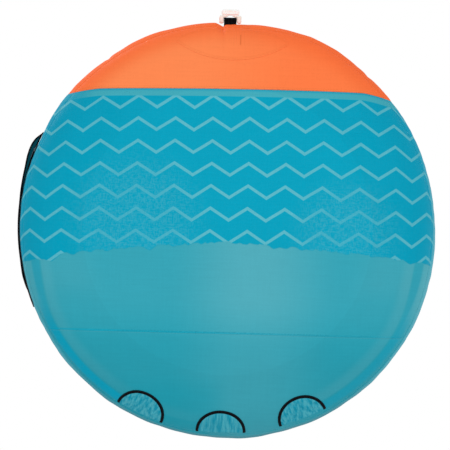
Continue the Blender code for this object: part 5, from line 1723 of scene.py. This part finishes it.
def add_valve_body():
    """Sleeve with a collar, a thread inside the boot and a floor with air holes."""
    low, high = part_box("valve_body")
    collar_low = high.z - 0.004
    profile = [(0.0029, low.z), (0.0160, low.z)]
    level = low.z + 0.0015
    while level < collar_low - 0.0040:
        profile += [(0.0160, level), (0.0164, level + 0.0006), (0.0160, level + 0.0012)]
        level += 0.0020
    profile += [(0.0160, collar_low), (0.0232, collar_low), (0.0238, collar_low + 0.0008),
                (0.0238, high.z - 0.0010), (0.0230, high.z), (0.0133, high.z), (0.0126, high.z - 0.0008),
                (0.0126, low.z + 0.0020), (0.0029, low.z + 0.0020)]
    body = add_turning("valve_sleeve", profile, 96)
    for i in range(6):
        turn = math.tau * i / 6
        place = (VALVE.x + 0.0075 * math.cos(turn), VALVE.y + 0.0075 * math.sin(turn), low.z)
        cut(body, add_rod("hole", 0.0028, 0.02, place, sides=24))
    return body


def add_valve_boot():
    """Vinyl flange welded to the bladder, with the neck that holds the sleeve."""
    low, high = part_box("valve_boot")
    flange = high.z - 0.0012
    return add_turning("valve_flange", rounded([
        (0.0169, low.z), (0.0196, low.z), (0.0196, flange), (0.0447, flange), (0.0447, high.z),
        (0.0425, high.z + 0.00005), (0.0420, high.z - 0.0003), (0.0169, high.z - 0.0003)], 0.0005, 2), 96)


def add_valve_leash():
    """Strap with a ring round the cap's neck and a ring round the collar."""
    low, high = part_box("valve_leash")
    lower = add_turning("valve_strap", rounded([
        (0.02435, low.z), (0.0282, low.z), (0.0282, low.z + 0.0014), (0.02435, low.z + 0.0014)], 0.0005), 96)
    upper = add_turning("ring", rounded([
        (0.01535, high.z - 0.0014), (0.0191, high.z - 0.0014), (0.0191, high.z),
        (0.01535, high.z)], 0.0005), 96)
    join(lower, upper)
    reach = high.x - VALVE.x
    for size, place in (((reach - 0.0262, 0.0076, 0.0014), ((reach + 0.0262) / 2, 0, low.z + 0.0007)),
                        ((reach - 0.0172, 0.0076, 0.0014), ((reach + 0.0172) / 2, 0, high.z - 0.0007)),
                        ((0.0014, 0.0076, high.z - low.z), (reach - 0.0007, 0, (high.z + low.z) / 2))):
        join(lower, add_block("strap", size, VALVE + Vector(place), 0.00045, 2))
    return lower


def add_valve_membrane():
    """Rubber disc with a headed stem and a thicker rim."""
    low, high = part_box("valve_membrane")
    return add_turning("valve_disc", rounded([
        (0, low.z), (0.0155, low.z), (0.0155, low.z + 0.0010), (0.0140, low.z + 0.0009),
        (0.0015, low.z + 0.0010), (0.0014, high.z - 0.0021), (0.0024, high.z - 0.0019),
        (0.0018, high.z), (0, high.z)], 0.0003, 2))


class DECKTUBE_OT_valve(bpy.types.Operator):
    """Make the filling valve and the taped port that it is reached through"""
    bl_idname = "deck_tube.valve"
    bl_label = "Filling valve"

    def execute(self, context):
        port = thicken(add_port_tape(), 0.0006)
        dress(port, webbing("port_tape", 0.0014, (-0.0035, 0.0035)), TUBE,
              ["valve_port_binding"])
        declare_cloth(girth=0.0145)
        plastic = moulded("valve_plastic", "plastic", 0.36, 0.06)
        vinyl = bpy.data.materials["bladder_vinyl"]
        dress(add_valve_boot(), vinyl, TUBE, ["valve_boot"], smooth=40)
        dress(add_valve_body(), plastic, TUBE, ["valve_body"], smooth=40)
        dress(add_valve_leash(), plastic, TUBE, ["valve_leash"], smooth=40)
        dress(add_valve_cap(), plastic, "valve_cap", ["valve_cap"], smooth=40)
        rubber = moulded("white_rubber", "fitting", 0.55, 0.04)
        dress(add_valve_membrane(), rubber, "valve_membrane", ["valve_membrane"], smooth=40)
        return done("port_tape", "valve_flange", "valve_sleeve", "valve_strap", "valve_cap_knob",
                    "valve_disc")


# Riders' handles

HANDLE_RISE = 0.048
FOOT_REACH = 0.0110


def handle_places():
    """Angle from the nose and pivot of each handle."""
    for i in range(RIDER_HANDLES):
        pivot = Vector(JOINT[f"handle_{i + 1}_swing"]["pos_m"])
        yield i + 1, math.atan2(pivot.x, -pivot.y), pivot


def place_piece(piece, turn, place):
    """Turn a piece about Z and move it to its place."""
    piece.data.transform(Matrix.Translation(place) @ Matrix.Rotation(turn, 4, "Z"))
    return piece


def add_patch(name, node):
    """Reinforcing patch under a rider's handles, with turned-in edges, as large as the solid's."""
    mesh = frame["nodes"][node].data
    angles = [math.atan2(v.co.x, -v.co.y) for v in mesh.vertices]
    radii = [v.co.to_2d().length for v in mesh.vertices]
    inner, outer = min(radii) + 0.001, max(radii) - 0.0005
    start, end = min(angles), max(angles)
    turn, radius = np.meshgrid(np.linspace(start, end, 161), np.linspace(inner, outer, 53), indexing="ij")
    side = np.minimum(turn - start, end - turn) * radius
    edge = np.minimum(np.minimum(radius - inner, outer - radius), side)
    hem = 0.00035 * np.exp(-((edge - 0.003) / 0.002) ** 2)
    stitch = -0.0003 * np.exp(-((edge - 0.006) / 0.0012) ** 2)
    level = DECK + 0.0007 + hem + stitch + 0.00012 * swell(turn * radius, radius, 0.05, int(start * 50) + 200)
    points = np.stack([radius * np.sin(turn), -radius * np.cos(turn), level], -1)
    return add_grid(name, points, np.stack([turn * radius, edge], -1))


def add_anchor(name):
    """Square of webbing sewn flat to a patch, under a foot of a handle's strap."""
    half_x, half_y = 0.0125, 0.0165
    x, y = np.meshgrid(np.linspace(-half_x, half_x, 21), np.linspace(-half_y, half_y, 29), indexing="ij")
    edge = np.minimum(half_x - np.abs(x), half_y - np.abs(y))
    diagonal = np.abs(np.abs(x / half_x) - np.abs(y / half_y)) * 0.009
    box = np.abs(edge - 0.0022)
    level = 0.0005 * ease(edge, -0.001, 0.001)
    level = level - 0.00025 * np.exp(-(np.minimum(diagonal, box) / 0.0006) ** 2)
    return add_grid(name, np.stack([x, y, level], -1), np.stack([y, x], -1))


def add_strap(name):
    """Webbing arch of a handle, along X, with its feet at the origin's height."""
    half_span, rise, shoulder = 0.085, HANDLE_RISE, 0.024
    foot = -0.0108
    waist = rise - shoulder
    up = np.linspace(foot, waist, 14)[:-1]
    turn = np.linspace(0, math.pi / 2, 16)
    over = np.linspace(half_span - shoulder, -(half_span - shoulder), 40)[1:-1]
    x = np.concatenate([np.full_like(up, half_span), half_span - shoulder + shoulder * np.cos(turn), over])
    z = np.concatenate([up, waist + shoulder * np.sin(turn), np.full_like(over, rise)])
    x = np.concatenate([x, -x[:len(up) + len(turn)][::-1]])
    z = np.concatenate([z, z[:len(up) + len(turn)][::-1]])
    line = np.stack([x, np.zeros_like(x), z], -1)
    sideways = np.tile([0.0, 1.0, 0.0], (len(line), 1))
    return add_ribbon(name, line, sideways, sizes().handle_strap, 8)


def round_feet(piece):
    """Round a strap's feet so that they stay clear of the patch over the whole swing."""
    reach, half = FOOT_REACH, sizes().handle_strap / 2
    swing = math.radians(JOINT["handle_1_swing"]["range_deg"][1])
    for vertex in piece.data.vertices:
        z = vertex.co.z
        if z > -reach * math.cos(swing):
            limit = (reach + z * math.cos(swing)) / math.sin(swing)
        else:
            limit = math.sqrt(max(reach ** 2 - z ** 2, 0.0000001))
        vertex.co.y *= min(1, limit / half)
    return piece


def add_grip(name):
    """Foam sleeve with a knitted cover, drawn in at both ends."""
    half, radius = 0.056, 0.0178
    share = np.linspace(-1, 1, 73)
    along = half * share
    swell_out = radius * (1 - np.clip((np.abs(share) - 0.88) / 0.12, 0, 1) ** 2.2 * 0.22)
    swell_out = swell_out - 0.0010 * np.exp(-((np.abs(along) - 0.049) / 0.0015) ** 2)
    angles = np.linspace(0, math.tau, 61)[:-1]
    l, a = np.meshgrid(along, angles, indexing="ij")
    r = swell_out[:, None] * (1 + 0.012 * np.sin(l * 160 + np.sin(a * 3)) * (np.abs(l) < 0.045))
    r = r - 0.0009 * np.exp(-(turn_from(a, -math.pi / 2) / 0.06) ** 2)
    points = np.stack([l, r * np.cos(a), r * np.sin(a) + HANDLE_RISE], -1)
    return close_ends(add_grid(name, points, np.stack([l, a * radius], -1), closed=True))


def add_guard(name):
    """Moulded foam pad with rounded corners, a raised rim and rows of ribs."""
    half_x, half_y, corner, thick = 0.0725, 0.0525, 0.020, 0.0079
    rows, columns = 97, 73
    u, v = np.meshgrid(np.linspace(-1, 1, rows), np.linspace(-1, 1, columns), indexing="ij")
    x, y = half_x * u, half_y * v
    over_x = np.maximum(np.abs(x) - (half_x - corner), 0)
    over_y = np.maximum(np.abs(y) - (half_y - corner), 0)
    reach = np.maximum(np.hypot(over_x, over_y), 0.0000001)
    square = np.maximum(over_x, over_y)
    pull = np.where((over_x > 0) & (over_y > 0), square / reach, 1.0)
    x = np.sign(x) * (np.minimum(np.abs(x), half_x - corner) + over_x * pull)
    y = np.sign(y) * (np.minimum(np.abs(y), half_y - corner) + over_y * pull)
    edge = corner - np.hypot(over_x, over_y) * pull
    edge = np.where((over_x == 0) & (over_y == 0), np.minimum(half_x - np.abs(x), half_y - np.abs(y)), edge)
    rim = np.sqrt(np.clip(1 - (1 - np.clip(edge / 0.0035, 0, 1)) ** 2, 0, 1))
    inside = ease(edge, 0.009, 0.012)
    ribs = (0.5 + 0.5 * np.cos(x * math.tau / 0.0145)) ** 0.6
    level = 0.0008 + (thick - 0.0008) * rim - inside * (1 - ribs) * 0.0022
    guard = add_grid(name, np.stack([x, y, level], -1), np.stack([x, y], -1))
    modifier = guard.modifiers.new("base", "SOLIDIFY")
    modifier.thickness = 0.0008
    modifier.offset = -1
    apply_modifiers(guard)
    for vertex in guard.data.vertices:
        if vertex.index >= rows * columns:
            vertex.co.z = 0.0004
    return guard


class DECKTUBE_OT_handles(bpy.types.Operator):
    """Make the riders' patches, handles and knuckle guards"""
    bl_idname = "deck_tube.handles"
    bl_label = "Riders' handles"

    def execute(self, context):
        cloth = patch_cloth("handle_patch_cloth", TEAL_THREAD, False)
        for side in ACROSS:
            patch = thicken(add_patch(f"rider_patch_{side}", f"handle_patch_{side}"), 0.0008)
            dress(patch, cloth, TUBE, [f"handle_patch_{side}"])
            declare_cloth()
        strap_finish = webbing("handle_webbing", 0.0022, (-0.0085, 0.0085))
        anchor_finish = webbing("anchor_webbing", 0.0022)
        grip_finish, foam = grip_cloth(), foam_cover()
        patch_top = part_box("handle_patch_centre")[1].z
        for number, turn, pivot in handle_places():
            body = f"handle_{number}"
            strap = round_feet(add_strap(f"handle_strap_{number}"))
            thicken(strap, 0.0028)
            place_piece(strap, turn, pivot)
            dress(strap, strap_finish, body, [f"handle_webbing_{number}"], smooth=60)
            declare_cloth(girth=0.0242)
            grip = place_piece(add_grip(f"rider_grip_{number}"), turn, pivot)
            dress(grip, grip_finish, body, [f"handle_grip_{number}"], smooth=60)
            base = Vector((pivot.x, pivot.y, patch_top + 0.0001))
            guard = place_piece(add_guard(f"knuckle_pad_{number}"), turn, base)
            dress(guard, foam, TUBE, [f"knuckle_guard_{number}"], smooth=60)
            for side, label in ((-1, "left"), (1, "right")):
                anchor = thicken(add_anchor(f"handle_anchor_{number}_{label}"), 0.0008)
                anchor.data.transform(Matrix.Translation((side * 0.0870, 0, 0.0003)))
                place_piece(anchor, turn, base)
                dress(anchor, anchor_finish, TUBE)
                declare_cloth(girth=0.025)
        return done(*(f"{part}_{i + 1}" for part in ("handle_strap", "rider_grip", "knuckle_pad")
                      for i in range(RIDER_HANDLES)))


# Stage, with the camera square on to the underside as in the photo

CAMERA_ROLL = math.radians(1.5)
CAMERA_DISTANCE = 20.0
CAMERA_RIGHT = -0.0116
CAMERA_UP = 0.0199
CAMERA_LENS = 385.4


class DECKTUBE_OT_stage(bpy.types.Operator):
    """Set the pale floor, the soft lamps and the camera below the tube"""
    bl_idname = "deck_tube.stage"
    bl_label = "Stage"

    def execute(self, context):
        scene = context.scene
        bpy.ops.object.select_all(action="DESELECT")
        bpy.ops.mesh.primitive_plane_add(size=60, location=(0, 0, CREST_LOW - 0.0006))
        floor = context.object
        floor.name = "floor"
        floor.data.materials.append(floor_finish())
        floor.visible_shadow = False
        floor.visible_diffuse = False
        light_world(scene)
        for name, place, size, watts in (("lamp_below", (0.3, -0.9, -5.2), 5.0, 72),
                                         ("lamp_key", (-3.2, -3.6, 4.6), 3.0, 100),
                                         ("lamp_fill", (4.2, 1.4, 3.4), 4.0, 45)):
            bpy.ops.object.light_add(type="AREA", location=place)
            lamp = context.object
            lamp.name = name
            lamp.data.size = size
            lamp.data.energy = watts
            lamp.rotation_euler = (-Vector(place)).to_track_quat("-Z", "Y").to_euler()
        turn = CAMERA_ROLL
        right = Vector((math.cos(turn), -math.sin(turn), 0))
        up = Vector((-math.sin(turn), -math.cos(turn), 0))
        away = right.cross(up)
        bpy.ops.object.camera_add()
        camera = context.object
        place = away * CAMERA_DISTANCE + right * CAMERA_RIGHT + up * CAMERA_UP + Vector((0, 0, MIDDLE))
        camera.matrix_world = Matrix((
            (right.x, up.x, away.x, place.x), (right.y, up.y, away.y, place.y),
            (right.z, up.z, away.z, place.z), (0, 0, 0, 1)))
        camera.data.sensor_width = 36
        camera.data.lens = CAMERA_LENS
        scene.camera = camera
        scene.view_settings.view_transform = "Standard"
        return done("floor", "lamp_below", "lamp_key", "lamp_fill")


def floor_finish():
    """A plain floor, which a camera below it looks through."""
    shader = Shader("floor", 0.9, Specular_IOR_Level=0.0, Emission_Strength=0.62)
    point = shader.place()[0]
    pale = shader.shade(tone("floor"), shader.noise(point, 0.6) * 0.02 + 0.99)
    shader.feed("Base Color", shader.shade(pale, 0.34))
    shader.feed("Emission Color", pale)
    seen = Wire(shader, shader.node("ShaderNodeLightPath").outputs["Is Camera Ray"])
    below = Wire(shader, shader.node("ShaderNodeNewGeometry").outputs["Backfacing"])
    clear = shader.node("ShaderNodeBsdfTransparent")
    mixed = shader.node("ShaderNodeMixShader", None, {0: seen * below})
    shader.tree.links.new(shader.surface.outputs[0], mixed.inputs[1])
    shader.tree.links.new(clear.outputs[0], mixed.inputs[2])
    shader.tree.links.new(mixed.outputs[0], shader.tree.nodes["Material Output"].inputs["Surface"])
    return shader.material


def light_world(scene):
    """Even pale light all round, behind which the camera sees white."""
    world = bpy.data.worlds.new("studio")
    world.use_nodes = True
    tree = world.node_tree
    even = tree.nodes["Background"]
    even.inputs["Color"].default_value = (1, 1, 1, 1)
    even.inputs["Strength"].default_value = 0.80
    white = tree.nodes.new("ShaderNodeBackground")
    white.inputs["Color"].default_value = (1, 1, 1, 1)
    seen = tree.nodes.new("ShaderNodeLightPath")
    mixed = tree.nodes.new("ShaderNodeMixShader")
    tree.links.new(seen.outputs["Is Camera Ray"], mixed.inputs[0])
    tree.links.new(even.outputs[0], mixed.inputs[1])
    tree.links.new(white.outputs[0], mixed.inputs[2])
    tree.links.new(mixed.outputs[0], tree.nodes["World Output"].inputs["Surface"])
    scene.world = world


STEPS = (DECKTUBE_OT_underside, DECKTUBE_OT_side, DECKTUBE_OT_deck, DECKTUBE_OT_bladder, DECKTUBE_OT_vents,
         DECKTUBE_OT_tow_point, DECKTUBE_OT_zip, DECKTUBE_OT_valve, DECKTUBE_OT_handles, DECKTUBE_OT_stage)


class DECKTUBE_PT_panel(bpy.types.Panel):
    """The deck tube's pieces in the order that they are made in"""
    bl_idname = "DECKTUBE_PT_panel"
    bl_label = "Deck tube"
    bl_space_type = "VIEW_3D"
    bl_region_type = "UI"
    bl_category = "Deck tube"

    def draw(self, context):
        for step in STEPS:
            self.layout.operator(step.bl_idname)
        for group in (context.scene.deck_tube_sizes, context.scene.deck_tube_colours):
            box = self.layout.box()
            for name in group.__annotations__:
                box.prop(group, name)


CLASSES = (DeckTubeSizes, DeckTubeColours, *STEPS, DECKTUBE_PT_panel)


def register():
    for item in CLASSES:
        bpy.utils.register_class(item)
    bpy.types.Scene.deck_tube_sizes = bpy.props.PointerProperty(type=DeckTubeSizes)
    bpy.types.Scene.deck_tube_colours = bpy.props.PointerProperty(type=DeckTubeColours)


def unregister():
    del bpy.types.Scene.deck_tube_sizes
    del bpy.types.Scene.deck_tube_colours
    for item in reversed(CLASSES):
        bpy.utils.unregister_class(item)


def main():
    register()
    bpy.ops.deck_tube.underside()
    bpy.ops.deck_tube.side()
    bpy.ops.deck_tube.deck()
    bpy.ops.deck_tube.bladder()
    bpy.ops.deck_tube.vents()
    bpy.ops.deck_tube.tow_point()
    bpy.ops.deck_tube.zip()
    bpy.ops.deck_tube.valve()
    bpy.ops.deck_tube.handles()
    bpy.ops.deck_tube.stage()


if __name__ == "__main__":
    main()
